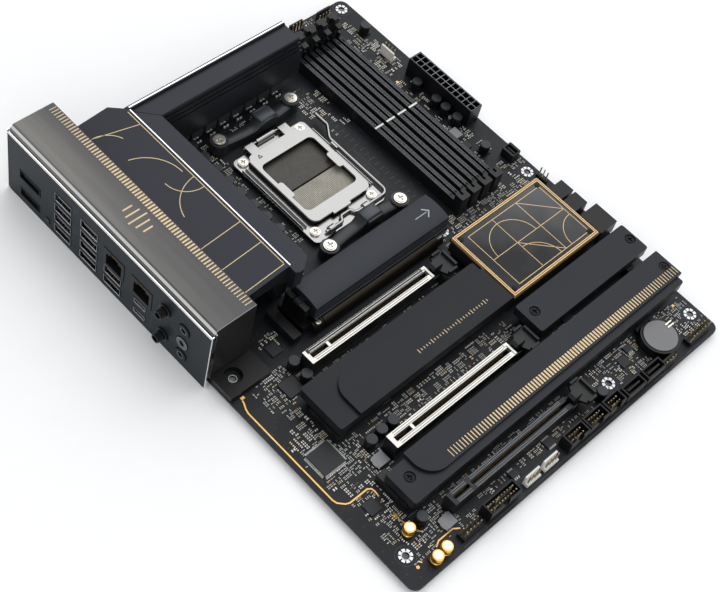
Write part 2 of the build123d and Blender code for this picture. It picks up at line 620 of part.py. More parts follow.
with BuildPart() as chipset_heatsink:
    x0, x1, y0, y1 = CHIPSET
    block(x0 + 0.6, x1 - 0.6, y0 + 0.6, y1 - 0.6, 4.0, CHIPSET_TOP - 2.6, corner=1.0)
    block(x0 + 3.4, x1 - 3.4, y0 + 3.4, y1 - 3.4, CHIPSET_TOP - 2.7, CHIPSET_TOP - 1.4)
    x, y = CHIPSET_PLACE
    block(x - half, x + half, y - half, y + half, 1.8, 4.1)
    for x in (x0 + 5, x1 - 5):
        for y in (y0 + 5, y1 - 5):
            post(x, y, 3.0, 0, 4.1)
chipset_heatsink.part.label = "chipset_heatsink"
export_step(chipset_heatsink.part, "parts/chipset_heatsink.step")

with BuildPart() as chipset_frame:
    block(x0, x1, y0, y1, CHIPSET_TOP - 2.6, CHIPSET_TOP, corner=1.0)
    chamfer(chipset_frame.faces().sort_by(Axis.Z)[-1].edges(), 0.9)
    block(x0 + CHIPSET_RIM, x1 - CHIPSET_RIM, y0 + CHIPSET_RIM, y1 - CHIPSET_RIM, 10, 16,
          Mode.SUBTRACT)
chipset_frame.part.label = "chipset_frame"
export_step(chipset_frame.part, "parts/chipset_frame.step")

with BuildPart() as chipset_window:
    rim = CHIPSET_RIM + SEATED
    block(x0 + rim, x1 - rim, y0 + rim, y1 - rim, CHIPSET_TOP - 1.4, CHIPSET_TOP - 0.4)
chipset_window.part.label = "chipset_window"
export_step(chipset_window.part, "parts/chipset_window.step")


# ---- processor power stages and their cooling ---------------------------------------------
SINK_SPLIT = ((54.5, 280.0), (66.6, 268.0))
SINK_GAP = 0.3
REAR_SINK_Y = (150.0, 288.0)
TOP_SINK_X = (50.0, 175.0)
STAGE_T = 1.1
PAD_T = 1.0
SINK_FLOOR = STAGE_T + PAD_T
PIPE_R = 3.0
PIPE_Z = 22.0
PIPE_X = 60.6
PIPE_Y = 274.4
REAR_STAGES_X = 62.0
TOP_STAGES_Y = 283.4
STAGE_PITCH = 10.0
REAR_STAGE_ROWS = [169.0 + STAGE_PITCH * step for step in range(10)]
TOP_STAGE_COLUMNS = [78.0 + STAGE_PITCH * step for step in range(9)]
CHOKE = (8.6, 7.0, 6.4)
REAR_CHOKES_X = 76.0
TOP_CHOKES_Y = 274.6


def pipe_solid(radius, extra=0.0):
    """A round bar that follows the pipe's route, longer at both ends by extra."""
    with BuildPart(mode=Mode.PRIVATE) as bar:
        with BuildLine(level(PIPE_Z)):
            FilletPolyline(
                (PIPE_X, REAR_SINK_Y[0] + 14 - extra), (PIPE_X, PIPE_Y),
                (TOP_SINK_X[1] - 16 + extra, PIPE_Y), radius=11)
        with BuildSketch(section_at_y(REAR_SINK_Y[0] + 14 - extra)):
            with Locations((PIPE_X, PIPE_Z)):
                Circle(radius)
        sweep()
    return bar.part


def split_side(keep):
    """Cut the builder's part along the mitre between the two spreaders."""
    (ax, ay), (bx, by) = SINK_SPLIT
    normal = Vector(ay - by, bx - ax, 0).normalized()
    middle = Vector((ax + bx) / 2 - DATUM[0], (ay + by) / 2 - DATUM[1], 0)
    shift = SINK_GAP / 2 if keep == Keep.TOP else -SINK_GAP / 2
    split(bisect_by=Plane(origin=middle + normal * shift, z_dir=normal), keep=keep)


heat_pipe_part = pipe_solid(PIPE_R)
heat_pipe_bore = pipe_solid(PIPE_R + SEATED, SEATED)

with BuildPart() as heat_pipe:
    add(heat_pipe_part)
heat_pipe.part.label = "heat_pipe"
export_step(heat_pipe.part, "parts/heat_pipe.step")

with BuildPart() as vrm_heatsink_rear:
    profile_y(*REAR_SINK_Y, (
        (57.6, SINK_FLOOR), (66.0, SINK_FLOOR), (66.0, 12), (68.6, 14), (68.6, 24),
        (67.4, 30), (66.8, 42.6), (66.2, 43.2), (55.4, 43.2), (55.0, COVER_TOP),
        (53.2, COVER_TOP), (25.6, 42.0), (25.6, 34.5), (48, 34.5), (55.4, 29), (55.4, 12),
        (57.6, 10)))
    for z in (39.2, 35.6, 32.0):
        block(65.4, 70, REAR_SINK_Y[0] - 1, REAR_SINK_Y[1] + 1, z, z + 1.3, Mode.SUBTRACT)
    # Lower front corner cut away at a slant.
    with BuildSketch(level(SINK_FLOOR - 1)) as outline:
        with BuildLine():
            Polyline((58, REAR_SINK_Y[0] - 1), (70, REAR_SINK_Y[0] - 1),
                     (70, REAR_SINK_Y[0] + 8), close=True)
        make_face()
    extrude(outline.sketch, amount=50, mode=Mode.SUBTRACT)
    # The low corner beside the cover ends further up.
    block(24, 53.4, REAR_SINK_Y[0] - 1, 155, 20, 50, Mode.SUBTRACT)
    # The foot stops short of the upper drive slot, which the rest overhangs.
    block(50, 72, REAR_SINK_Y[0] - 1, UPPER_DRIVE[3] + 6.4, 0, UPPER_Z[1] + 10.4,
          Mode.SUBTRACT)
    split_side(Keep.BOTTOM)
    add(heat_pipe_bore, mode=Mode.SUBTRACT)
vrm_heatsink_rear.part.label = "vrm_heatsink_rear"
export_step(vrm_heatsink_rear.part, "parts/vrm_heatsink_rear.step")

with BuildPart() as vrm_heatsink_top:
    profile_x(*TOP_SINK_X, (
        (266.6, 14), (278.8, 14), (279.6, SINK_FLOOR), (287.2, SINK_FLOOR), (287.2, 8),
        (284, 11), (282.2, 20), (282.2, COVER_TOP), (280.0, COVER_TOP), (279.6, 43.2),
        (268.4, 43.2), (267.8, 42.6), (267.2, 30), (266.6, 24)))
    for z in (39.2, 35.6, 32.0):
        block(TOP_SINK_X[0] - 1, TOP_SINK_X[1] + 1, 264, 269.2, z, z + 1.3, Mode.SUBTRACT)
    # The free end leans back over its height, and turns in towards the rear.
    profile_y(260, 290, ((164.5, COVER_TOP + 1), (176, COVER_TOP + 1), (176, 14), (175, 14)),
              Mode.SUBTRACT)
    with BuildSketch(level(0)) as outline:
        with BuildLine():
            Polyline((166, 264), (178, 264), (178, 275), close=True)
        make_face()
    extrude(outline.sketch, amount=50, mode=Mode.SUBTRACT)
    block(TOP_SINK_X[0] - 1, 72, 260, 290, -1, 13.9, Mode.SUBTRACT)
    block(168, 180, 276, 290, -1, 13.9, Mode.SUBTRACT)
    split_side(Keep.TOP)
    add(heat_pipe_bore, mode=Mode.SUBTRACT)
vrm_heatsink_top.part.label = "vrm_heatsink_top"
export_step(vrm_heatsink_top.part, "parts/vrm_heatsink_top.step")

with BuildPart() as thermal_pads:
    block(REAR_STAGES_X - 3.2, REAR_STAGES_X + 3.2, REAR_STAGE_ROWS[0] - 3,
          REAR_STAGE_ROWS[-1] + 3, STAGE_T, SINK_FLOOR)
    block(TOP_STAGE_COLUMNS[0] - 3, TOP_STAGE_COLUMNS[-1] + 3, TOP_STAGES_Y - 3.2,
          TOP_STAGES_Y + 3.2, STAGE_T, SINK_FLOOR)
thermal_pads.part.label = "thermal_pads"
export_step(thermal_pads.part, "parts/thermal_pads.step")

with BuildPart() as vrm_chokes:
    length, width, tall = CHOKE
    for y in REAR_STAGE_ROWS:
        block(REAR_CHOKES_X - width / 2, REAR_CHOKES_X + width / 2, y - length / 2,
              y + length / 2, 0, tall, corner=0.5)
    for x in TOP_STAGE_COLUMNS:
        block(x - length / 2, x + length / 2, TOP_CHOKES_Y - width / 2,
              TOP_CHOKES_Y + width / 2, 0, tall, corner=0.5)
vrm_chokes.part.label = "vrm_chokes"
export_step(vrm_chokes.part, "parts/vrm_chokes.step")


# ---- capacitors, inductors and chips ------------------------------------------------------------
def capacitor(x, y, radius, tall):
    """A round can on a square foot with two cut corners, with a shallow ring near its top."""
    block(x - radius - 0.2, x + radius + 0.2, y - radius - 0.2, y + radius + 0.2, 0, 0.9,
          corner=0.8)
    post(x, y, radius - 0.15, 0.9, tall)
    post(x, y, radius, 1.5, tall - 0.6)


POLYMER_R, POLYMER_TALL = 3.1, 6.8
CORE_CAPS = [(89.2, 194.0 + 10.2 * step) for step in range(8)]
BOARD_CAPS = (
    (228.9, 225.3), (228.9, 209.2), (228.9, 201.6), (228.9, 191.9), (235.2, 276.4),
    (227.1, 167.1), (38.4, 70.2), (46.6, 71.3), (54.8, 71.3), (28.3, 24.6), (154.4, 14.2),
    (38.8, 127.4), (38.8, 117.9),
)
AUDIO_R, AUDIO_TALL = 3.15, 6.4
AUDIO_CAPS = ((19.4, 24.5), (19.8, 5.5), (26.7, 6.0))

with BuildPart() as polymer_capacitors:
    for place in (*CORE_CAPS, *BOARD_CAPS):
        capacitor(*place, POLYMER_R, POLYMER_TALL)
polymer_capacitors.part.label = "polymer_capacitors"
export_step(polymer_capacitors.part, "parts/polymer_capacitors.step")

with BuildPart() as audio_capacitors:
    for place in AUDIO_CAPS:
        capacitor(*place, AUDIO_R, AUDIO_TALL)
audio_capacitors.part.label = "audio_capacitors"
export_step(audio_capacitors.part, "parts/audio_capacitors.step")

INDUCTORS = ((36.0, 60.6), (38.4, 15.8), (dimm_centre(3) + DIMM_WIDTH / 2 + 6.49, 185.4))

with BuildPart() as power_inductors:
    for x, y in INDUCTORS:
        block(x - 3.5, x + 3.5, y - 3.5, y + 3.5, 0.3, 3.0, corner=0.25)
        for side in (-1, 1):
            low, high = sorted((x + side * 2.2, x + side * 3.8))
            block(low, high, y - 1.5, y + 1.5, 0, 1.2)
power_inductors.part.label = "power_inductors"
export_step(power_inductors.part, "parts/power_inductors.step")

# x, y, half length, half width, height of each flat chip
CHIPS = (
    (15.6, 78.4, 7.0, 7.0, 1.4), (15.2, 45.0, 3.6, 3.6, 0.9), (222.0, 176.0, 2.4, 2.4, 0.8),
    (205.0, 292.0, 3.0, 3.0, 0.8), (178.0, 60.0, 3.5, 3.5, 0.9), (190.0, 24.0, 2.6, 2.0, 1.5),
    (182.0, 20.0, 3.0, 3.0, 0.8), (30.0, 119.0, 5.0, 5.0, 1.0), (38.0, 141.0, 3.5, 3.5, 0.9),
    (30.0, 170.0, 5.0, 5.0, 1.0), (34.0, 200.0, 4.0, 4.0, 0.9), (36.0, 235.0, 5.0, 5.0, 1.0),
    (218.4, 160.0, 2.0, 2.0, 0.8), (112.0, 13.2, 3.0, 2.4, 1.0), (84.0, 12.6, 2.6, 2.0, 1.5),
)

with BuildPart() as chip_packages:
    for x, y, half_x, half_y, tall in CHIPS:
        block(x - half_x, x + half_x, y - half_y, y + half_y, 0, tall)
    for y in REAR_STAGE_ROWS:
        block(REAR_STAGES_X - 2.9, REAR_STAGES_X + 2.9, y - 2.4, y + 2.4, 0, STAGE_T)
    for x in TOP_STAGE_COLUMNS:
        block(x - 2.4, x + 2.4, TOP_STAGES_Y - 2.9, TOP_STAGES_Y + 2.9, 0, STAGE_T)
chip_packages.part.label = "chip_packages"
export_step(chip_packages.part, "parts/chip_packages.step")


# ---- rear panel ---------------------------------------------------------------------------
# Each port's middle along Y and its height above the board.
AUDIO_Y = 166.0
AUDIO_HEIGHTS = (4.6, 14.9, 26.0)
ANTENNA_Y = 180.2
ANTENNA_HEIGHTS = (6.0, 27.0)
ANTENNA_R, ANTENNA_TIP_X = 2.6, -8.2
LAN_CENTRES = (198.2, 219.8)
LAN_Z0 = 14.6
LAN_SIZE = (16.0, 13.6)
LAN_MOUTH = (11.8, 8.2)
USB_C_Y = 198.4
USB_C_HEIGHTS = (2.4, 10.4)
USB_A_COLUMNS = (220.2, 239.6, 260.6)
USB_A_HEIGHTS = (2.95, 11.45, 19.95, 28.45)
USB_A_MOUTH = (12.6, 5.1)
USB_A_BODY = 14.4
VIDEO_Y = 288.0
VIDEO_HEIGHTS = (3.4, 17.2)
VIDEO_MOUTHS = ((15.0, 4.8), (16.2, 5.0))
BUTTON_Y, BUTTON_HEIGHT = 273.0, 1.8
BUTTON_HALF = 1.5
BUTTON_TRAVEL = 0.6
PORT_FRONT = IO_FACE_X - 0.3
PORT_GAP = 0.2


def plate_window(y, z, wide, tall):
    """A rectangular window through the rear plate."""
    with BuildSketch(section_at_x(IO_FACE_X - 1)) as outline:
        with Locations((y, z)):
            Rectangle(wide, tall)
    extrude(outline.sketch, amount=PLATE_T + 3, mode=Mode.SUBTRACT)


def port_hole(x0, x1, y, z, wide, tall, mode=Mode.SUBTRACT):
    """A mouth that runs into a port along X."""
    with BuildSketch(section_at_x(x0)) as outline:
        with Locations((y, z)):
            Rectangle(wide, tall)
    extrude(outline.sketch, amount=x1 - x0, mode=mode)


with BuildPart() as rear_io_plate:
    with BuildSketch(section_at_x(IO_FACE_X)) as outline:
        with Locations(((IO_Y0 + IO_Y1) / 2, (IO_LOW + IO_HIGH) / 2)):
            RectangleRounded(IO_Y1 - IO_Y0, IO_HIGH - IO_LOW, 2.0)
    extrude(outline.sketch, amount=PLATE_T)
    for z in AUDIO_HEIGHTS:
        rod_x(IO_FACE_X - 1, 2, AUDIO_Y, z, 4.2, Mode.SUBTRACT)
    for z in ANTENNA_HEIGHTS:
        rod_x(IO_FACE_X - 1, 2, ANTENNA_Y, z, ANTENNA_R + 0.3, Mode.SUBTRACT)
    gap = 2 * PORT_GAP
    for y in LAN_CENTRES:
        plate_window(y, LAN_Z0 + LAN_SIZE[1] / 2, LAN_SIZE[0] + gap, LAN_SIZE[1] + gap)
    for z in USB_C_HEIGHTS:
        plate_window(USB_C_Y, z, 9.2 + gap, 3.6 + gap)
    for y in USB_A_COLUMNS:
        for z in USB_A_HEIGHTS[:2] if y == USB_A_COLUMNS[0] else USB_A_HEIGHTS:
            plate_window(y, z, 13.6 + gap, 5.9 + gap)
    for z, (wide, tall) in zip(VIDEO_HEIGHTS, VIDEO_MOUTHS):
        plate_window(VIDEO_Y, z, wide + 1.2 + gap, tall + 1.2 + gap)
    plate_window(BUTTON_Y, BUTTON_HEIGHT, 2 * BUTTON_HALF + 2 * BESIDE,
                 2 * BUTTON_HALF + 2 * BESIDE)
rear_io_plate.part.label = "rear_io_plate"
export_step(rear_io_plate.part, "parts/rear_io_plate.step")

TRAY_Z = 33.4

with BuildPart() as io_cover_frame:
    # Inner tray with ribs under the clear cover.
    block(-1.9, 25.0, IO_Y0 + 1.6, IO_Y1 - 1.6, TRAY_Z, TRAY_Z + 1.6)
    for step in range(12):
        y = IO_Y0 + 9.0 + 12.8 * step
        block(-1.9, 24.0, y, y + 1.6, 34.9, 39.0)
    block(20.6, 25.0, IO_Y0 + 1.6, IO_Y1 - 1.6, 34.9, 43.3)
    for y in (152.0, 201.0, 250.0, 298.0):
        post(2.4, y, 2.6, 34.9, 41.0)
    # Skirt that the tray rests on, and a foot round the upper rear fixing hole.
    skirt_top = TRAY_Z - SEATED
    block(-1.9, 25.0, IO_Y0 + 1.6, IO_Y0 + 3.2, 0, skirt_top)
    block(19.4, 25.0, IO_Y1 - 3.2, IO_Y1 - 1.6, 0, skirt_top)
    block(23.4, 25.0, IO_Y0 + 3, IO_Y1 - 3, 14, skirt_top)
    block(0.2, 27.0, 131.0, IO_Y0 + 3.2, 0, 3.6, corner=1.2)
    post(*STANDOFF_HOLES[1], 4.9, -1, 5, Mode.SUBTRACT)
io_cover_frame.part.label = "io_cover_frame"
export_step(io_cover_frame.part, "parts/io_cover_frame.step")

with BuildPart() as io_cover:
    with BuildSketch(section_at_y(IO_Y1)) as outline:
        with BuildLine():
            Polyline((-2.0, 4.0), (-2.0, 42.6), (0.4, COVER_TOP), (25.5, COVER_TOP),
                     (25.5, 4.0), close=True)
        make_face()
    extrude(outline.sketch, amount=IO_Y1 - IO_Y0)
    with BuildSketch(section_at_y(IO_Y1 - COVER_T)) as hollow:
        with BuildLine():
            Polyline((-4.0, 1.0), (-4.0, 40.6), (-0.6, 41.4), (1.0, COVER_TOP - COVER_T),
                     (27.0, COVER_TOP - COVER_T), (27.0, 1.0), close=True)
        make_face()
    extrude(hollow.sketch, amount=IO_Y1 - IO_Y0 - 2 * COVER_T, mode=Mode.SUBTRACT)
    # The end wall at the top edge stands clear of the board's corner fixing.
    block(-4, 27, IO_Y1 - COVER_T - 1, IO_Y1 + 1, 1, 6, Mode.SUBTRACT)
io_cover.part.label = "io_cover"
export_step(io_cover.part, "parts/io_cover.step")

with BuildPart() as lan_jacks:
    for y in LAN_CENTRES:
        wide, tall = LAN_SIZE
        port_hole(PORT_FRONT, 19.0, y, LAN_Z0 + tall / 2, wide, tall, Mode.ADD)
        port_hole(PORT_FRONT - 1, 11.0, y, LAN_Z0 + 6.0, *LAN_MOUTH)
        port_hole(PORT_FRONT - 1, 11.0, y, LAN_Z0 + 10.6, 6.4, 2.4)
        port_hole(PORT_FRONT - 1, 11.0, y, LAN_Z0 + 11.8, 4.0, 2.0)
lan_jacks.part.label = "lan_jacks"
export_step(lan_jacks.part, "parts/lan_jacks.step")

with BuildPart() as usb_c_ports:
    # Both sockets share one block that carries the network jack above them.
    block(-1.9, 13.0, USB_C_Y - 7.4, USB_C_Y + 7.4, 0, LAN_Z0)
    for z in USB_C_HEIGHTS:
        with BuildSketch(section_at_x(PORT_FRONT)) as outline:
            with Locations((USB_C_Y, z)):
                RectangleRounded(9.2, 3.4, 1.6)
        extrude(outline.sketch, amount=3)
        with BuildSketch(section_at_x(PORT_FRONT - 1)) as outline:
            with Locations((USB_C_Y, z)):
                RectangleRounded(8.4, 2.6, 1.25)
                RectangleRounded(6.6, 0.7, 0.3, mode=Mode.SUBTRACT)
        extrude(outline.sketch, amount=7.6, mode=Mode.SUBTRACT)
        port_hole(PORT_FRONT - 1, PORT_FRONT + 0.9, USB_C_Y, z, 6.8, 0.9)
usb_c_ports.part.label = "usb_c_ports"
export_step(usb_c_ports.part, "parts/usb_c_ports.step")

with BuildPart() as usb_a_ports:
    for y in USB_A_COLUMNS:
        heights = USB_A_HEIGHTS[:2] if y == USB_A_COLUMNS[0] else USB_A_HEIGHTS
        top = LAN_Z0 if y == USB_A_COLUMNS[0] else heights[-1] + 3.2
        block(-1.9, 15.0, y - USB_A_BODY / 2, y + USB_A_BODY / 2, 0, top)
        for z in heights:
            port_hole(PORT_FRONT, 0, y, z, 13.4, 5.8, Mode.ADD)
            port_hole(PORT_FRONT - 1, 6.4, y, z, *USB_A_MOUTH)
            port_hole(PORT_FRONT + 1.2, 7, y, z + 0.9, 11.0, 1.8, Mode.ADD)
usb_a_ports.part.label = "usb_a_ports"
export_step(usb_a_ports.part, "parts/usb_a_ports.step")

with BuildPart() as video_ports:
    block(-1.9, 14.0, VIDEO_Y - 9.6, VIDEO_Y + 9.6, 0, 21.4)
    for z, (wide, tall) in zip(VIDEO_HEIGHTS, VIDEO_MOUTHS):
        port_hole(PORT_FRONT, 0, VIDEO_Y, z, wide + 1.0, tall + 1.0, Mode.ADD)
        port_hole(PORT_FRONT - 1, 6.0, VIDEO_Y, z, wide, tall)
        port_hole(PORT_FRONT + 1.2, 7, VIDEO_Y, z, wide - 3.4, 1.5, Mode.ADD)
video_ports.part.label = "video_ports"
export_step(video_ports.part, "parts/video_ports.step")

with BuildPart() as audio_jacks:
    block(-1.9, 12.0, AUDIO_Y - 6.0, AUDIO_Y + 6.0, 0, AUDIO_HEIGHTS[-1] + 5.4)
    for z in AUDIO_HEIGHTS:
        rod_x(PORT_FRONT, -1.5, AUDIO_Y, z, 3.9)
        rod_x(PORT_FRONT - 1, 9.0, AUDIO_Y, z, 1.8, Mode.SUBTRACT)
audio_jacks.part.label = "audio_jacks"
export_step(audio_jacks.part, "parts/audio_jacks.step")

with BuildPart() as antenna_jacks:
    block(-1.9, 10.0, ANTENNA_Y - 5.2, ANTENNA_Y + 5.2, 0, 31.0)
    for z in ANTENNA_HEIGHTS:
        rod_x(ANTENNA_TIP_X, -1.5, ANTENNA_Y, z, ANTENNA_R)
        rod_x(ANTENNA_TIP_X - 1, -4.0, ANTENNA_Y, z, 1.9, Mode.SUBTRACT)
        rod_x(ANTENNA_TIP_X + 1, -3.0, ANTENNA_Y, z, 0.8)
antenna_jacks.part.label = "antenna_jacks"
export_step(antenna_jacks.part, "parts/antenna_jacks.step")

with BuildPart() as flashback_switch:
    block(1.0, 6.0, BUTTON_Y - 3.0, BUTTON_Y + 3.0, 0, 4.4)
flashback_switch.part.label = "flashback_switch"
export_step(flashback_switch.part, "parts/flashback_switch.step")

with BuildPart() as flashback_button:
    port_hole(IO_FACE_X - 0.6, 1.0 - BUTTON_TRAVEL - 0.1, BUTTON_Y, BUTTON_HEIGHT + 0.1,
              2 * BUTTON_HALF, 2 * BUTTON_HALF, Mode.ADD)
    fillet(flashback_button.faces().sort_by(Axis.X)[0].edges(), 0.4)
flashback_button.part.label = "flashback_button"
export_step(flashback_button.part, "parts/flashback_button.step")


# ---- power inlets, headers and ports on the board -----------------------------------------
def power_cells(x0, y0, columns, rows, tall):
    """A latching power inlet: square cells with a contact pin in each."""
    wall = 0.5
    block(x0 - wall, x0 + columns * POWER_PITCH + wall, y0 - wall,
          y0 + rows * POWER_PITCH + wall, 0, tall)
    for pin_r, depth in ((0.0, 3.2), (0.55, tall - 2.4)):
        with BuildSketch(level(tall)) as cells:
            for column in range(columns):
                for row in range(rows):
                    with Locations((x0 + (column + 0.5) * POWER_PITCH,
                                    y0 + (row + 0.5) * POWER_PITCH)):
                        RectangleRounded(3.75, 3.75, 0.5 if (column + row) % 2 else 1.3)
                        if pin_r:
                            Circle(pin_r, mode=Mode.SUBTRACT)
        extrude(cells.sketch, amount=-depth, mode=Mode.SUBTRACT)


ATX_PLACE = (232.8, 186.5)
ATX_TALL = 13.4

with BuildPart() as atx_power_header:
    power_cells(*ATX_PLACE, 2, 12, ATX_TALL)
    edge_x = ATX_PLACE[0] + 2 * POWER_PITCH + 0.4
    block(edge_x, edge_x + 1.3, ATX_PLACE[1] + 20, ATX_PLACE[1] + 30, ATX_TALL - 4.6,
          ATX_TALL - 2.4)
atx_power_header.part.label = "atx_power_header"
export_step(atx_power_header.part, "parts/atx_power_header.step")

CPU_POWER_X = (82.0, 106.0)
CPU_POWER_Y = 293.0

with BuildPart() as cpu_power_headers:
    for x in CPU_POWER_X:
        power_cells(x, CPU_POWER_Y, 4, 2, ATX_TALL)
        edge_y = CPU_POWER_Y + 2 * POWER_PITCH + 0.4
        block(x + 5, x + 12, edge_y, edge_y + 1.3, ATX_TALL - 4.6, ATX_TALL - 2.4)
cpu_power_headers.part.label = "cpu_power_headers"
export_step(cpu_power_headers.part, "parts/cpu_power_headers.step")

ANGLED_SATA_Y = ((101.2, 110.8), (112.0, 121.6))
SATA_EDGE_X = (231.0, 242.6)
UPRIGHT_SATA_X = ((162.0, 177.0), (179.0, 194.0))

with BuildPart() as sata_ports:
    for y0, y1 in ANGLED_SATA_Y:
        block(*SATA_EDGE_X, y0, y1, 0, 8.6, corner=0.5)
        port_hole(SATA_EDGE_X[1] - 6.6, SATA_EDGE_X[1] + 1, (y0 + y1) / 2, 4.4, 8.2, 5.2)
        port_hole(SATA_EDGE_X[1] - 7, SATA_EDGE_X[1] - 0.8, (y0 + y1) / 2, 4.0, 6.2, 1.2,
                  Mode.ADD)
    for x0, x1 in UPRIGHT_SATA_X:
        block(x0, x1, 2.2, 8.8, 0, 8.4, corner=0.5)
        block(x0 + 1.0, x1 - 1.0, 3.2, 7.8, 2.4, 10, Mode.SUBTRACT)
        block(x0 + 2.4, x1 - 2.4, 4.8, 6.0, 2.3, 7.6)
sata_ports.part.label = "sata_ports"
export_step(sata_ports.part, "parts/sata_ports.step")

USB3_EDGE = (231.0, 245.6, 81.4, 97.4)
TYPE_E = (233.6, 241.0, 151.2, 159.8)

with BuildPart() as usb_headers:
    x0, x1, y0, y1 = USB3_EDGE
    block(x0, x1, y0, y1, 0, 9.6, corner=0.5)
    port_hole(x1 - 8.0, x1 + 1, (y0 + y1) / 2, 5.0, y1 - y0 - 2.2, 7.0)
    port_hole(x1 - 8.2, x1 - 1.6, (y0 + y1) / 2, 5.0, y1 - y0 - 5.0, 2.2, Mode.ADD)
    x0, x1, y0, y1 = TYPE_E
    block(x0, x1, y0, y1, 0, 6.2, corner=0.8)
    block(x0 + 1.6, x1 - 1.6, y0 + 0.8, y1 - 0.8, 1.4, 7, Mode.SUBTRACT)
    block(x0 + 3.2, x1 - 3.2, y0 + 1.4, y1 - 1.4, 1.3, 5.4)
usb_headers.part.label = "usb_headers"
export_step(usb_headers.part, "parts/usb_headers.step")

SHROUDS = (
    (54.4, 76.6, 2.4, 9.8, 10, 2), (115.2, 130.0, 2.4, 9.8, 5, 2), (131.0, 145.8, 2.4, 9.8, 5, 2),
    (147.0, 160.0, 2.4, 9.8, 4, 2),
)
SHROUD_TALL = 8.8

with BuildPart() as shrouded_headers:
    for x0, x1, y0, y1, columns, rows in SHROUDS:
        block(x0, x1, y0, y1, 0, SHROUD_TALL, corner=0.4)
        block(x0 + 0.8, x1 - 0.8, y0 + 0.8, y1 - 0.8, 1.6, SHROUD_TALL + 1, Mode.SUBTRACT)
        block((x0 + x1) / 2 - 2.2, (x0 + x1) / 2 + 2.2, y0 - 1, y0 + 1, 4, SHROUD_TALL + 1,
              Mode.SUBTRACT)
        with BuildSketch(level(1.5)) as pins:
            with Locations(((x0 + x1) / 2, (y0 + y1) / 2)):
                with GridLocations(PIN_PITCH * 0.8, PIN_PITCH, columns, rows):
                    Rectangle(0.64, 0.64)
        extrude(pins.sketch, amount=6.4)
shrouded_headers.part.label = "shrouded_headers"
export_step(shrouded_headers.part, "parts/shrouded_headers.step")

# x, y of the middle, pins along X, pins along Y, height of the keyed back wall
PIN_HEADERS = (
    (43.2, 5.6, 5, 2, 0), (88.8, 4.2, 4, 1, 7.0), (102.6, 4.2, 4, 1, 7.0),
    (199.2, 3.2, 4, 1, 7.0), (228.6, 5.4, 7, 2, 0), (234.0, 253.8, 1, 4, 7.0),
    (200.6, 299.6, 4, 1, 7.0), (219.6, 296.4, 4, 1, 10.0), (240.0, 132.0, 1, 3, 0),
)

with BuildPart() as pin_headers:
    for x, y, columns, rows, wall in PIN_HEADERS:
        half_x = columns * PIN_PITCH / 2
        half_y = rows * PIN_PITCH / 2
        block(x - half_x, x + half_x, y - half_y, y + half_y, 0, 2.4)
        if wall and columns > rows:
            block(x - half_x, x + half_x, y + half_y - 0.1, y + half_y + 1.0, 0, wall)
        elif wall:
            block(x - half_x - 1.0, x - half_x + 0.1, y - half_y, y + half_y, 0, wall)
        with BuildSketch(level(2.3)) as pins:
            with Locations((x, y)):
                with GridLocations(PIN_PITCH, PIN_PITCH, columns, rows):
                    Rectangle(0.64, 0.64)
        extrude(pins.sketch, amount=6.2)
pin_headers.part.label = "pin_headers"
export_step(pin_headers.part, "parts/pin_headers.step")

CELL_PLACE = (207.4, 16.6)
CELL_R = 10.0
CELL_T = 3.2
CELL_Z = 3.4

with BuildPart() as battery_holder:
    x, y = CELL_PLACE
    post(x, y, CELL_R + 1.4, 0, 6.0)
    block(x - 6, x + 6, y, y + CELL_R + 2.6, 0, 3.0, corner=1)
    post(x, y, CELL_R + SEATED, CELL_Z, 7, Mode.SUBTRACT)
    block(x - 3.2, x + 3.2, y + CELL_R - 1, y + CELL_R + 2, CELL_Z, 7, Mode.SUBTRACT)
battery_holder.part.label = "battery_holder"
export_step(battery_holder.part, "parts/battery_holder.step")

with BuildPart() as coin_cell:
    post(x, y, CELL_R, CELL_Z, CELL_Z + CELL_T)
    fillet(coin_cell.edges().filter_by(GeomType.CIRCLE).sort_by(Axis.Z)[-1], 0.5)
coin_cell.part.label = "coin_cell"
export_step(coin_cell.part, "parts/coin_cell.step")
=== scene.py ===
import json
import math
import random

import bmesh
import bpy
from mathutils import Matrix, Vector
from mathutils.bvhtree import BVHTree

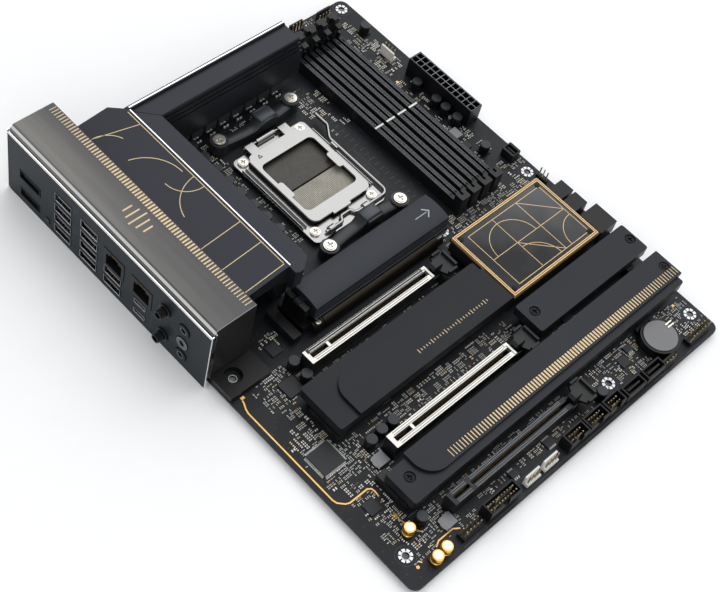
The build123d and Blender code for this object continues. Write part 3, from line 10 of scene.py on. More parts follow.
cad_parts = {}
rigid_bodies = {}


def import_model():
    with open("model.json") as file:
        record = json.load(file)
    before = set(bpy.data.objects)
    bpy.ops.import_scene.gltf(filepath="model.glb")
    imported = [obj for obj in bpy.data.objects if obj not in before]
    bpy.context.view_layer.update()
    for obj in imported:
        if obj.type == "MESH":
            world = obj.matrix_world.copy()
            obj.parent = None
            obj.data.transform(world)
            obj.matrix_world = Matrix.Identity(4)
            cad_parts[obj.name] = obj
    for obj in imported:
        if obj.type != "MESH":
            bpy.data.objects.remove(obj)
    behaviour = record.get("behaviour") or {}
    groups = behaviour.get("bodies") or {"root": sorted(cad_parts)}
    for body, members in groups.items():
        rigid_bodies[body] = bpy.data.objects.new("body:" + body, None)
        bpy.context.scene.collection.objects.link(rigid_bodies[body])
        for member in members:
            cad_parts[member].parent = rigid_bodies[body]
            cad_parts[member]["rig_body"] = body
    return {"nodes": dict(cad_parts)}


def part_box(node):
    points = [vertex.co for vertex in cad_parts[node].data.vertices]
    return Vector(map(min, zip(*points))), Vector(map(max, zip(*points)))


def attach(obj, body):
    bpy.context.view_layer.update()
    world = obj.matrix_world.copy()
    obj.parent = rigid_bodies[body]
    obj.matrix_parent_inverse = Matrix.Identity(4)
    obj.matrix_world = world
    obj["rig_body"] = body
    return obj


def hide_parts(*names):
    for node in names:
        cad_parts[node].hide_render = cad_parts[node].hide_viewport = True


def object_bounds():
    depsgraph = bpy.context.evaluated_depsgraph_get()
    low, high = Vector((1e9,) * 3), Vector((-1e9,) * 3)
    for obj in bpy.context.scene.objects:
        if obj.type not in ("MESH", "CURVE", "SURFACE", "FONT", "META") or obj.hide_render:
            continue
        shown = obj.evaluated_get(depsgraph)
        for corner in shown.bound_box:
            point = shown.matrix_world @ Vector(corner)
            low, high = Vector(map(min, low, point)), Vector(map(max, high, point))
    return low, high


# Looks of the mainboard. Places are millimetres from the board's rear bottom corner, and heights
# are millimetres above its upper face, as in the CAD. to_frame() turns them into the row frame.

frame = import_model()
CAD_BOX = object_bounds()
NODES = frame["nodes"]
BODY_OF = {name: node["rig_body"] for name, node in NODES.items()}

MM = 0.001
DATUM_X, DATUM_Y, BOARD_T = 10.16, 16.51, 1.6
SKIN, PRINT = 0.05, 0.03  # how far plating and ink stand up


def to_frame(x, y, h):
    """A place on the board and a height above it, in metres in the row frame."""
    return ((x - DATUM_X) * MM, (y - DATUM_Y) * MM, (h + BOARD_T) * MM)


def to_board(point):
    """A point of the row frame as a place on the board and a height above it."""
    return point[0] / MM + DATUM_X, point[1] / MM + DATUM_Y, point[2] / MM - BOARD_T


def span(node):
    """A node's limits: x0, x1, y0, y1, h0, h1."""
    low, high = (to_board(corner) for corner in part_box(node))
    return low[0], high[0], low[1], high[1], low[2], high[2]


# ---- materials ----------------------------------------------------------------------------
def linear(colour):
    """An 0 to 255 screen colour as linear values."""
    shares = [c / 255 for c in colour]
    return [s / 12.92 if s <= 0.04045 else ((s + 0.055) / 1.055) ** 2.4 for s in shares] + [1]


class Shader:
    """A material's node graph around one Principled shader."""

    def __init__(self, name):
        self.material = bpy.data.materials.new(name)
        self.material.use_nodes = True
        self.nodes = self.material.node_tree.nodes
        self.links = self.material.node_tree.links
        self.core = self.nodes["Principled BSDF"]
        self.place = self.nodes.new("ShaderNodeTexCoord").outputs["Object"]

    def node(self, kind, *sources, **settings):
        """A new node: outputs linked to its first inputs, numbers set on named ones."""
        made = self.nodes.new("ShaderNode" + kind)
        for place, source in enumerate(sources):
            self.links.new(source, made.inputs[place])
        for socket, number in settings.items():
            made.inputs[socket].default_value = number
        return made

    def stretched(self, x, y, z):
        """Object coordinates scaled by x, y and z, for grain that runs one way."""
        return self.node("Mapping", self.place, Scale=(x, y, z)).outputs["Vector"]

    def noise(self, size_mm, detail=3.0, rough=0.55, place=None):
        """Noise whose features are about size_mm across."""
        return self.node("TexNoise", place or self.place, Scale=1 / (size_mm * MM),
                         Detail=detail, Roughness=rough).outputs["Fac"]

    def apart(self):
        """The outputs X, Y and Z of the object coordinates."""
        return self.node("SeparateXYZ", self.place).outputs

    def joined(self, first, second, operation="ADD"):
        """The sum of two outputs, or another operation on them."""
        node = self.node("Math", first, second)
        node.operation = operation
        return node.outputs[0]

    def ranged(self, value, low, high, start=0.3, stop=0.7):
        """value from start to stop, carried over to low to high."""
        limits = {"From Min": start, "From Max": stop, "To Min": low, "To Max": high}
        return self.node("MapRange", value, **limits).outputs["Result"]

    def mixed(self, share, first, second):
        """A colour between two colours or colour outputs."""
        node = self.node("Mix", share)
        node.data_type = "RGBA"
        for socket, colour in ((node.inputs[6], first), (node.inputs[7], second)):
            if isinstance(colour, bpy.types.NodeSocket):
                self.links.new(colour, socket)
            else:
                socket.default_value = colour
        return node.outputs[2]

    def bump(self, height, strength, depth_mm):
        """Relief from a height output."""
        node = self.node("Bump", Strength=strength, Distance=depth_mm * MM)
        self.links.new(height, node.inputs["Height"])
        self.feed("Normal", node.outputs["Normal"])

    def feed(self, socket, output):
        self.links.new(output, self.core.inputs[socket])


def tinted(colour, share):
    """A linear colour made lighter or darker by a share."""
    return [min(1, c * (1 + share)) for c in linear(colour)[:3]] + [1]


LOOKS = {}


def finish(name, colour, rough=0.5, metal=0.0, grain=0.35, mottle=12.0, vary=0.12, spread=0.06,
           relief=0.15, depth=0.02, specular=0.5, brushed=None):
    """Adds a surface to LOOKS: fine grain, slow colour changes, and gloss and relief that follow
    the grain. grain, mottle and depth are millimetres, vary and spread are shares."""
    shader = Shader(name)
    place = shader.stretched(*brushed) if brushed else None
    fine = shader.noise(grain, 4.0, 0.6, place)
    slow = shader.noise(mottle, 2.0)
    base = shader.mixed(shader.ranged(slow, 0, 1), tinted(colour, -vary), tinted(colour, vary))
    speck = tinted(colour, vary * 1.6)
    shader.feed("Base Color", shader.mixed(shader.ranged(fine, 0, 0.45, 0.5, 0.8), base, speck))
    both = shader.mixed(shader.ranged(fine, 0.2, 0.8), (0, 0, 0, 1), (1, 1, 1, 1))
    shader.feed("Roughness", shader.ranged(both, max(0.02, rough - spread), rough + spread, 0, 1))
    shader.core.inputs["Metallic"].default_value = metal
    shader.core.inputs["Specular IOR Level"].default_value = specular
    if relief:
        shader.bump(fine, relief, depth)
    LOOKS[name] = shader.material


def board_finish():
    """Solder mask over faint copper: pours, bundles of tracks and pin holes under dark ink."""
    shader = Shader("solder_mask")
    ink, copper = linear((19, 22, 26)), linear((32, 35, 40))
    pour = shader.ranged(shader.noise(26, 1.0, 0.3), 0, 1, 0.5, 0.505)
    tracks = shader.node("TexWave", shader.place, Scale=420, Distortion=0.6, Detail=1.0)
    tracks.bands_direction = "DIAGONAL"
    lines = shader.ranged(tracks.outputs["Fac"], 0, 1, 0.62, 0.7)
    holes = shader.node("TexVoronoi", shader.place, Scale=330)
    dots = shader.ranged(holes.outputs["Distance"], 1, 0, 0.1, 0.16)
    slow = shader.mixed(shader.ranged(shader.noise(40, 2), 0, 1), ink, linear((15, 18, 22)))
    lined = shader.mixed(lines, slow, copper)
    base = shader.mixed(pour, slow, lined)
    shader.feed("Base Color", shader.mixed(dots, base, linear((54, 55, 56))))
    shader.feed("Roughness", shader.ranged(shader.noise(0.6), 0.36, 0.5))
    shader.core.inputs["Specular IOR Level"].default_value = 0.24
    shader.bump(lines, 0.25, 0.02)
    return shader.material


# Where the clear plastic's painted reflection fades in, and where the glass changes from dark to
# pale, in metres of the row frame.
SMOKE_SHEEN_X = (-0.009, 0.011)
SMOKE_SHEEN_Y = (0.14, 0.27)
GLASS_FADE = (0.25, 0.32)


def smoked_finish():
    """Dark clear plastic with a painted reflection of the light: paler along the rear panel, most
    of all towards the far end.
    """
    shader = Shader("smoked_plastic")
    parts = shader.apart()
    # Painted reflection: the colour pales near the rear panel and towards the far end.
    behind = shader.ranged(parts["X"], 1, 0, *SMOKE_SHEEN_X)
    far = shader.ranged(parts["Y"], 0.35, 1, *SMOKE_SHEEN_Y)
    pale = shader.joined(behind, far, "MULTIPLY")
    clear = shader.mixed(pale, linear((38, 39, 41)), linear((118, 114, 108)))
    waves = shader.ranged(shader.noise(4, 1.0, 0.4, shader.stretched(1, 0.05, 1)), 0, 0.3)
    shader.feed("Base Color", shader.mixed(waves, clear, linear((24, 24, 26))))
    shader.feed("Roughness", shader.ranged(shader.noise(30, 2), 0.1, 0.16))
    shader.bump(shader.noise(24, 1.0), 0.04, 0.02)
    shader.core.inputs["Alpha"].default_value = 0.96
    shader.core.inputs["Specular IOR Level"].default_value = 0.6
    return shader.material


def glass_finish():
    """Tinted glass that pales towards its far front corner."""
    shader = Shader("tinted_glass")
    parts = shader.apart()
    pale = shader.ranged(shader.joined(parts["X"], parts["Y"]), 0, 1, *GLASS_FADE)
    cloud = shader.ranged(shader.noise(14, 1.0), -0.1, 0.1)
    share = shader.joined(pale, cloud)
    shader.feed("Base Color", shader.mixed(share, linear((15, 17, 19)), linear((84, 86, 88))))
    shader.feed("Roughness", shader.ranged(shader.noise(20, 2), 0.12, 0.2))
    shader.bump(shader.noise(20, 1.0), 0.03, 0.02)
    shader.core.inputs["Specular IOR Level"].default_value = 0.22
    return shader.material


# Name, colour, roughness, metal, grain, mottle, vary and spread.
LOOKS["board"] = board_finish()
finish("plate_paint", (24, 32, 38), 0.5, 0.1, 0.3, 30, 0.06, relief=0.2, specular=0.25)
LOOKS["smoked_cover"] = smoked_finish()
finish("smoked_end", (34, 33, 33), 0.3, 0.0, 0.4, 14, 0.1, relief=0.1, specular=0.2)
finish("black_plastic", (15, 15, 17), 0.4, grain=0.25, relief=0.25, specular=0.3)
for name, colour, rough, vary in (("anodised_dark", (45, 47, 52), 0.4, 0.05),
                                  ("anodised_drive", (38, 40, 44), 0.42, 0.06),
                                  ("anodised_deep", (32, 34, 37), 0.42, 0.06)):
    finish(name, colour, rough, 0.6, 0.22, 45, vary, 0.05, relief=0.3, depth=0.015,
           specular=0.35)
finish("copper_pipe", (150, 92, 66), 0.3, 1.0, brushed=(1, 0.1, 1))
finish("pad_grey", (84, 88, 94), 0.85, grain=0.5, relief=0.4)
finish("choke_ferrite", (56, 58, 62), 0.55, grain=0.3, relief=0.5)
finish("saddle_plastic", (34, 36, 40), 0.42, grain=0.3, relief=0.4)
# A lighter copy of saddle_plastic: painted highlight on the brackets' raised panel.
finish("saddle_panel_highlight", (58, 62, 68), 0.42, grain=0.3, relief=0.4)
finish("chip_epoxy", (32, 34, 37), 0.5, grain=0.15, relief=0.4, specular=0.35)
finish("capacitor_can", (12, 12, 14), 0.35, 0.1, 0.4, specular=0.3)
finish("gold_can", (226, 176, 84), 0.2, 0.9, 0.5, 3, 0.06, relief=0.05)
finish("inductor_silver", (122, 123, 126), 0.5, 0.4, 0.2, relief=0.4)
finish("contact_field", (50, 48, 46), 0.5, grain=0.3)
finish("nickel_steel", (160, 159, 158), 0.2, 1.0, 1.6, 18, 0.008, 0.015, relief=0.01, depth=0.01)
finish("screw_steel", (214, 210, 202), 0.28, 1.0, 0.3, 3, 0.06, relief=0.1)
finish("black_steel", (18, 19, 21), 0.4, 0.6, 0.3)
finish("slot_plastic", (18, 19, 21), 0.4, grain=0.25, relief=0.2, specular=0.35)
finish("slot_shield", (206, 204, 198), 0.36, 0.75, 0.5, 20, 0.04, 0.06, relief=0.1,
       brushed=(0.15, 4, 4))
finish("carrier_bronze", (46, 40, 32), 0.34, 0.7, 0.5, 20, 0.08)
finish("black_screw", (14, 14, 16), 0.3, 0.7, 0.3)
finish("champagne_frame", (122, 96, 64), 0.3, 0.9, 0.4, 25, 0.05, relief=0.08)
LOOKS["smoked_glass"] = glass_finish()
finish("header_plastic", (13, 13, 15), 0.42, grain=0.3, relief=0.25, specular=0.3)
finish("cell_steel", (108, 108, 109), 0.44, 0.8, 0.3, 14, 0.03, relief=0.15, brushed=(1, 5, 1))
finish("jack_steel", (184, 184, 184), 0.22, 1.0, 0.4, 6, 0.05, relief=0.08)
finish("jack_dark", (14, 15, 17), 0.45, grain=0.3, specular=0.3)
finish("antenna_dark", (14, 14, 16), 0.36, 0.5, 0.3)
finish("button_plastic", (24, 26, 30), 0.45, grain=0.2)
finish("gold_ink", (212, 188, 146), 0.45, 0.2, 0.5, 10, 0.05, relief=0.05)
finish("gold_plate", (206, 164, 96), 0.3, 0.8, 0.4, 4, 0.07, relief=0.08)
finish("solder_tin", (224, 222, 216), 0.34, 0.15, 0.4, 1.5, 0.08, relief=0.2)
finish("pin_metal", (146, 134, 108), 0.3, 0.7, 0.4, 1.5, 0.1, relief=0.1)
finish("lead_tin", (190, 190, 190), 0.36, 0.5, 0.4, 1.5, 0.12, relief=0.3)
finish("resistor_black", (12, 12, 14), 0.4, grain=0.2, mottle=2)
finish("capacitor_tan", (92, 80, 66), 0.5, grain=0.2, mottle=2, vary=0.25)
finish("capacitor_grey", (66, 66, 68), 0.5, grain=0.2, mottle=2, vary=0.2)
finish("silk_white", (172, 175, 180), 0.7, grain=0.3, mottle=4, vary=0.15)
finish("silk_faint", (66, 70, 77), 0.7, grain=0.3, mottle=4, vary=0.15)
finish("can_top", (46, 48, 52), 0.42, 0.5, 0.3, 3, 0.08, relief=0.15)
finish("audio_top", (222, 224, 230), 0.36, 0.4, 0.3, 3, 0.03, relief=0.05)
finish("white_nylon", (220, 218, 212), 0.5, grain=0.3, vary=0.04)
# Near-white mirror finish for painted highlights along edges.
finish("painted_highlight", (238, 238, 238), 0.12, 1.0, 0.5, 20, 0.02, relief=0.03)
finish("field_brown", (60, 57, 53), 0.42, 0.35, 0.3, 6, 0.12)
finish("field_cream", (122, 118, 108), 0.42, 0.35, 0.3, 6, 0.08)
finish("field_dot", (92, 90, 86), 0.4, 0.5, 0.3, 6, 0.1)
finish("cream_dot", (176, 172, 160), 0.4, 0.5, 0.3, 6, 0.1)
# Near-black: jack interiors, and painted shade in screw recesses.
finish("jack_core_and_recess_shade", (6, 6, 7), 0.6, grain=0.3)
finish("plastic_line", (118, 121, 126), 0.4, 0.2, 0.2, 4, 0.12)
finish("line_gold", (216, 186, 134), 0.36, 0.5, 0.4, 6, 0.05, relief=0.05)
finish("gold_end", (214, 184, 130), 0.36, 0.4, 0.4, 2, 0.1, relief=0.2)


# ---- mesh building ------------------------------------------------------------------------
class Piece:
    """Closed shapes gathered into one object. turn() says how its own x, y and h lie. A mark is
    the place of a shape's look among the looks given to done()."""

    def __init__(self, turn=None):
        self.corners, self.faces, self.marks = [], [], []
        self.turn = turn or (lambda x, y, h: (x, y, h))

    def add(self, corners, faces, mark=0):
        first = len(self.corners)
        self.corners += [to_frame(*self.turn(*corner)) for corner in corners]
        self.faces += [[first + index for index in face] for face in faces]
        self.marks += [mark] * len(faces)

    def rings(self, rings, mark=0, open_loop=False):
        """A closed skin over rings of equally many corners, capped unless it is a loop."""
        count = len(rings[0])
        corners = [corner for ring in rings for corner in ring]
        faces = []
        turns = len(rings) if open_loop else len(rings) - 1
        for turn in range(turns):
            a, b = turn * count, (turn + 1) % len(rings) * count
            for side in range(count):
                after = (side + 1) % count
                faces.append((a + side, a + after, b + after, b + side))
        if not open_loop:
            faces.append(tuple(reversed(range(count))))
            faces.append(tuple(range(len(corners) - count, len(corners))))
        self.add(corners, faces, mark)

    def box(self, x0, x1, y0, y1, h0, h1, mark=0, edge=0.0):
        """A box whose upper edges may be chamfered."""
        def ring(h, inset):
            return [(x0 + inset, y0 + inset, h), (x1 - inset, y0 + inset, h),
                    (x1 - inset, y1 - inset, h), (x0 + inset, y1 - inset, h)]
        levels = [ring(h0, 0), ring(h1 - edge, 0)]
        if edge:
            levels.append(ring(h1, edge))
        self.rings(levels, mark)

    def around(self, x, y, w, d, h0, h1, mark=0, edge=0.0):
        """A box given by its middle and size."""
        self.box(x - w / 2, x + w / 2, y - d / 2, y + d / 2, h0, h1, mark, edge)

    def lying(self, x, y, shift, long, wide, along_x, h0, h1, mark=0, edge=0.0):
        """A box that lies along x or along y, shifted that way from x, y."""
        if along_x:
            self.around(x + shift, y, long, wide, h0, h1, mark, edge)
        else:
            self.around(x, y + shift, wide, long, h0, h1, mark, edge)

    def drum(self, x, y, stack, mark=0, sides=28):
        """A turned shape: stack is (radius, height) from the bottom up."""
        angles = [2 * math.pi * k / sides for k in range(sides)]
        self.rings([[(x + r * math.cos(a), y + r * math.sin(a), h) for a in angles]
                    for r, h in stack], mark)

    def washer(self, x, y, inner, outer, h0, h1, mark=0, sides=36, part=(0, 1)):
        """A flat ring, or a part of one from share to share of a turn."""
        whole = part[1] - part[0] >= 1
        steps = max(3, round(sides * (part[1] - part[0])))
        angles = [2 * math.pi * (part[0] + (part[1] - part[0]) * k / steps)
                  for k in range(steps if whole else steps + 1)]
        self.rings([[(x + r * math.cos(a), y + r * math.sin(a), h)
                     for r, h in ((inner, h0), (outer, h0), (outer, h1), (inner, h1))]
                    for a in angles], mark, whole)

    def strip(self, points, width, h0, h1, mark=0, closed=False, rise=None):
        """A flat ribbon along points with mitred corners. rise(x, y) lifts it to a surface."""
        rise = rise or (lambda x, y: 0)
        count = len(points)
        sections = []
        for k, (x, y) in enumerate(points):
            before = points[k - 1] if k or closed else None
            after = points[(k + 1) % count] if k < count - 1 or closed else None
            ways = []
            if before:
                ways.append(Vector((x - before[0], y - before[1])).normalized())
            if after:
                ways.append(Vector((after[0] - x, after[1] - y)).normalized())
            way = sum(ways, Vector((0, 0))).normalized()
            stretch = 1 / max(0.4, way.dot(ways[0]))
            side = Vector((-way.y, way.x)) * width / 2 * stretch
            left, right = (x + side.x, y + side.y), (x - side.x, y - side.y)
            sections.append([(*left, h0 + rise(*left)), (*right, h0 + rise(*right)),
                             (*right, h1 + rise(*right)), (*left, h1 + rise(*left))])
        self.rings(sections, mark, closed)

    def frame(self, x0, x1, y0, y1, width, h0, h1, mark=0):
        """A flat ribbon round a rectangle."""
        self.strip([(x0, y0), (x1, y0), (x1, y1), (x0, y1)], width, h0, h1, mark, True)

    def done(self, name, looks, smooth=35, replaces=(), body="board"):
        """Makes the object, with outward faces, and lets it ride on its body."""
        mesh = bpy.data.meshes.new(name)
        mesh.from_pydata(self.corners, [], self.faces)
        mesh.polygons.foreach_set("material_index", self.marks)
        for look in looks:
            mesh.materials.append(LOOKS[look])
        work = bmesh.new()
        work.from_mesh(mesh)
        bmesh.ops.recalc_face_normals(work, faces=work.faces)
        work.to_mesh(mesh)
        work.free()
        return placed(name, mesh, body, smooth, replaces)


def shown(name, data):
    """A new object in the scene."""
    made = bpy.data.objects.new(name, data)
    bpy.context.scene.collection.objects.link(made)
    return made


def placed(name, mesh, body, smooth=35, replaces=()):
    """An object for a mesh, shaded smooth up to an angle, riding on its body."""
    mesh.shade_smooth()
    mesh.set_sharp_from_angle(angle=math.radians(smooth))
    piece = shown(name, mesh)
    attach(piece, body)
    if replaces:
        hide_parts(*replaces)
    return piece


def loose_parts(work):
    """The separate shells of a bmesh, as lists of vertices."""
    unseen = set(work.verts)
    shells = []
    for start in work.verts:
        if start not in unseen:
            continue
        unseen.discard(start)
        shell, front = [start], [start]
        while front:
            for edge in front.pop().link_edges:
                for vert in edge.verts:
                    if vert in unseen:
                        unseen.discard(vert)
                        shell.append(vert)
                        front.append(vert)
        shells.append(shell)
    return shells


def soften(node, slot, width=0.2, looks=None, choose=None):
    """Stands in for a CAD node with the same shape, its edges rounded so that they catch light.
    choose(x, y, h, normal) gives the place in looks of a face's material."""
    work = bmesh.new()
    work.from_mesh(NODES[node].data)
    bmesh.ops.remove_doubles(work, verts=work.verts, dist=2e-6)
    bmesh.ops.dissolve_limit(work, angle_limit=math.radians(0.5), verts=work.verts,
                             edges=work.edges)
    for shell in loose_parts(work) if width else ():
        edges = {edge for vert in shell if vert.is_valid for edge in vert.link_edges}
        edges = [edge for edge in edges if len(edge.link_faces) == 2
                 and edge.calc_face_angle(0) > math.radians(38)]
        edges.sort(key=lambda edge: edge.index)
        bmesh.ops.bevel(work, geom=edges, offset=width * MM, segments=2, profile=0.5,
                        affect="EDGES", clamp_overlap=True)
    mesh = bpy.data.meshes.new(node + "_skin")
    if choose:
        for face in work.faces:
            face.material_index = choose(*to_board(face.calc_center_median()), face.normal)
    work.to_mesh(mesh)
    work.free()
    for look in looks or (slot,):
        mesh.materials.append(LOOKS[look])
    piece = placed(node + "_skin", mesh, BODY_OF[node], 32, (node,))
    if width:
        piece.modifiers.new("even_shading", "WEIGHTED_NORMAL").keep_sharp = True


def repaint(node, slot):
    """Gives a CAD node that stays its own finish."""
    mesh = NODES[node].data
    mesh.materials.clear()
    mesh.materials.append(LOOKS[slot])


def arc(x, y, radius, start, stop, steps=24):
    """Points on an arc in degrees."""
    angles = [math.radians(start + (stop - start) * k / steps) for k in range(steps + 1)]
    return [(x + radius * math.cos(a), y + radius * math.sin(a)) for a in angles]


# ---- the CAD nodes ------------------------------------------------------------------------
# Finish, rounding in millimetres, and the nodes that have them.
ROUNDED = (
    ("board", 0.15, "pcb"),
    ("plate_paint", 0.15, "rear_io_plate"),
    ("anodised_dark", 0.3, "vrm_heatsink_rear vrm_heatsink_top"),
    ("black_plastic", 0.2, "socket_housing"),
    ("nickel_steel", 0.25, "socket_frame"),
    ("nickel_steel", 0.3, "socket_load_plate"),
    ("black_steel", 0.3, "cooler_backplate"),
    ("anodised_dark", 0.3, "m2_heatsink_upper"),
    ("anodised_dark", 0.35, "m2_heatsink_middle m2_heatsink_right m2_heatsink_lower"),
    ("anodised_dark", 0.2, "chipset_heatsink"),
    ("champagne_frame", 0.12, "chipset_frame"),
    ("smoked_glass", 0.12, "chipset_window"),
    ("black_plastic", 0.25, "battery_holder"),
    ("header_plastic", 0.2, "sata_ports usb_headers"),
    ("choke_ferrite", 0.25, "vrm_chokes"),
    ("slot_plastic", 0.15, "pcie_slots"),
    ("slot_plastic", 0.12, "dimm_slots"),
    ("slot_plastic", 0.15, "m2_connectors"),
    ("black_plastic", 0.15, "m2_release_latch flashback_switch"),
    ("jack_dark", 0.15, "lan_jacks"),
    ("jack_steel", 0.1, "usb_a_ports usb_c_ports"),
    ("jack_dark", 0.15, "video_ports"),
    ("header_plastic", 0.12, "atx_power_header cpu_power_headers"),
    ("slot_plastic", 0.25,
     "dimm_latch_1 dimm_latch_2 dimm_latch_3 dimm_latch_4 pcie_latch_1 pcie_latch_2 "
     "pcie_latch_3"),
)
DEEPER = {"m2_heatsink_middle": "anodised_deep", "m2_heatsink_lower": "anodised_drive",
          "m2_heatsink_right": "anodised_drive"}
for slot, width, nodes in ROUNDED:
    for node in nodes.split():
        soften(node, slot, width, (DEEPER.get(node, slot),))

KEPT = {
    "io_cover_frame": "black_plastic", "heat_pipe": "copper_pipe", "thermal_pads": "pad_grey",
    "chip_packages": "chip_epoxy", "socket_frame_screws": "screw_steel",
    "socket_lever": "nickel_steel", "cooler_bracket_screws": "screw_steel",
    "heatsink_screws": "black_screw", "chipset_package": "chip_epoxy", "coin_cell": "cell_steel",
    "audio_jacks": "jack_dark", "antenna_jacks": "antenna_dark",
    "flashback_button": "button_plastic",
}
for node, slot in KEPT.items():
    repaint(node, slot)

FIELD_SPLIT_Y = 210
CAN_TOP = span("polymer_capacitors")[5] - 0.7
soften("socket_contact_field", "contact_field", 0.1, ("field_brown", "field_cream"),
       lambda x, y, h, normal: 0 if y > FIELD_SPLIT_Y else 1)
soften("polymer_capacitors", "capacitor_can", 0.2, ("capacitor_can", "can_top"),
       lambda x, y, h, normal: 1 if h > CAN_TOP else 0)
RAIL_FRONT_Y = 138.7
soften("m2_carrier_upper", "carrier_bronze", 0.2, ("black_steel", "carrier_bronze"),
       lambda x, y, h, normal: int(y < RAIL_FRONT_Y))
SLOT_YS = (122.2, 61.24, 20.6)
SHIELD = span("pcie_shields")


def shield_part(x, y, h, normal):
    """0 bright metal, 1 the dark outer sides and the far strip of the first slot."""
    across = min((y - middle for middle in SLOT_YS), key=abs)
    if normal.z > 0.5 and h > 5:
        return int(across > 1.5 and y > SLOT_YS[0])
    return int(abs(across) > 3.9 or x < SHIELD[0] + 0.3)


soften("pcie_shields", "slot_shield", 0.12, ("slot_shield", "slot_plastic"), shield_part)
# The end wall of the clear cover looks onto the dark frame behind it.
soften("io_cover", "smoked_cover", 0.3, ("smoked_cover", "smoked_end"),
       lambda x, y, h, normal: 1 if normal.y < -0.7 else 0)
cans = Piece()
for x, y in ((19.4, 24.5), (19.8, 5.5), (26.7, 6.0)):
    cans.around(x, y, 6.3, 6.3, 0, 0.8, 2, 0.2)
    cans.drum(x, y, ((2.95, 0.7), (3.12, 1.0), (3.12, 1.5), (2.75, 1.9), (2.75, 2.2), (3.12, 2.6),
                     (3.12, 5.7), (2.9, 6.15), (2.2, 6.25)), 0)
    cans.drum(x, y, ((2.2, 6.2), (2.2, 6.34)), 1)
cans.done("audio_cans", ("gold_can", "audio_top", "black_plastic"),
          replaces=("audio_capacitors",))
soften("power_inductors", "inductor_silver", 0.15, ("inductor_silver", "solder_tin"),
       lambda x, y, h, normal: 1 if h < 1.3 and abs(normal.z) < 0.5 else 0)

# The cooler brackets sweep up from their screw bosses into a lug with a lip.
SOCKET_X, SOCKET_Y = 129.0, 213.0
HALF_SPAN, ROW_HALF = 27.0, 45.0
BOSS_H = 7.4
saddles = Piece()
for side in (-1, 1):
    sections = []
    for k in range(37):
        share = -1 + k / 18
        x = SOCKET_X + HALF_SPAN * share
        y = SOCKET_Y + side * (ROW_HALF - 2.4 * (1 - share * share))
        swell = math.exp(-((share - 0.16) / 0.26) ** 4)
        wide = 3.5 + 0.8 * swell
        top = 7.2 + 5.0 * swell * (0.85 + 0.15 * math.cos(math.pi * share))
        low = 0.3 + 2.8 * swell
        sections.append([(x, y - wide, low), (x, y + wide, low), (x, y + wide, top - 1.2),
                         (x, y + wide * 0.6, top - 0.2), (x, y - wide * 0.6, top - 0.2),
                         (x, y - wide, top - 1.2)])
    saddles.rings(sections)
    for x in (SOCKET_X - HALF_SPAN, SOCKET_X + HALF_SPAN):
        saddles.washer(x, SOCKET_Y + side * ROW_HALF, 2.1, 4.1, 0, BOSS_H)
        saddles.washer(x, SOCKET_Y + side * ROW_HALF, 4.0, 5.3, 0, BOSS_H + 0.7)
        saddles.washer(x, SOCKET_Y + side * ROW_HALF, 4.1, 4.9, BOSS_H + 0.6, BOSS_H + 1.0)
    lip = SOCKET_Y + side * (ROW_HALF + 2.6)
    saddles.around(SOCKET_X + 4.4, lip, 11, 2.2, 8.6, 11.6, 0, 0.7)
    # The raised middle panel gets the lighter copy of the bracket plastic, as a painted
    # highlight.
    saddles.around(SOCKET_X + 4.4, SOCKET_Y + side * (ROW_HALF - 2), 12, 7.6, 11.2, 12.4, 1, 0.9)
saddles.done("cooler_saddles", ("saddle_plastic", "saddle_panel_highlight"), 50,
             replaces=("cooler_brackets",))

PIN_PITCH = 2.54
# x, y of the middle, pins along X and Y, spacing along X and Y, and whether the body is white
PIN_BLOCKS = (
    (43.2, 5.6, 5, 2, 0), (88.8, 4.2, 4, 1, 1), (102.6, 4.2, 4, 1, 1), (199.2, 3.2, 4, 1, 0),
    (228.6, 5.4, 7, 2, 0), (234.0, 253.8, 1, 4, 1), (200.6, 299.6, 4, 1, 0),
    (219.6, 296.4, 4, 1, 0), (240.0, 132.0, 1, 3, 0),
)
SHROUDS = ((54.4, 76.6, 10), (115.2, 130.0, 5), (131.0, 145.8, 5), (147.0, 160.0, 4))
SHROUD_Y = (2.4, 9.8)


def grid(x, y, columns, rows, step_x, step_y):
    """The middles of a block of pins."""
    return [(x + (i - (columns - 1) / 2) * step_x, y + (j - (rows - 1) / 2) * step_y)
            for i in range(columns) for j in range(rows)]


OPEN_PINS = [spot for x, y, columns, rows, _ in PIN_BLOCKS
             for spot in grid(x, y, columns, rows, PIN_PITCH, PIN_PITCH)]
WALLED_PINS = [spot for x0, x1, columns in SHROUDS
               for spot in grid((x0 + x1) / 2, sum(SHROUD_Y) / 2, columns, 2, PIN_PITCH * 0.8,
                                PIN_PITCH)]


def on_pin(x, y, pins):
    return any(abs(x - a) < 0.42 and abs(y - b) < 0.42 for a, b in pins)


def header_part(x, y, h, normal):
    """0 black body, 1 pin, 2 white body."""
    if h > 2.45 and on_pin(x, y, OPEN_PINS):
        return 1
    for a, b, columns, rows, white in PIN_BLOCKS:
        if white and abs(x - a) < columns * PIN_PITCH / 2 + 1.5 \
                and abs(y - b) < rows * PIN_PITCH / 2 + 1.5:
            return 2
    return 0


soften("pin_headers", "header_plastic", 0.0, ("header_plastic", "pin_metal", "white_nylon"),
       header_part)
soften("shrouded_headers", "header_plastic", 0.0, ("header_plastic", "pin_metal"),
       lambda x, y, h, normal: int(h > 1.7 and on_pin(x, y, WALLED_PINS)))


# ---- on the board -------------------------------------------------------------------------
HOLES = [(10.16, 16.51), (10.16, 140.97), (33.02, 298.45), (165.10, 16.51), (165.10, 140.97),
         (165.10, 298.45), (237.49, 16.51), (237.49, 140.97), (237.49, 298.45)]
_, BOARD_X1, _, BOARD_Y1 = span("pcb")[:4]

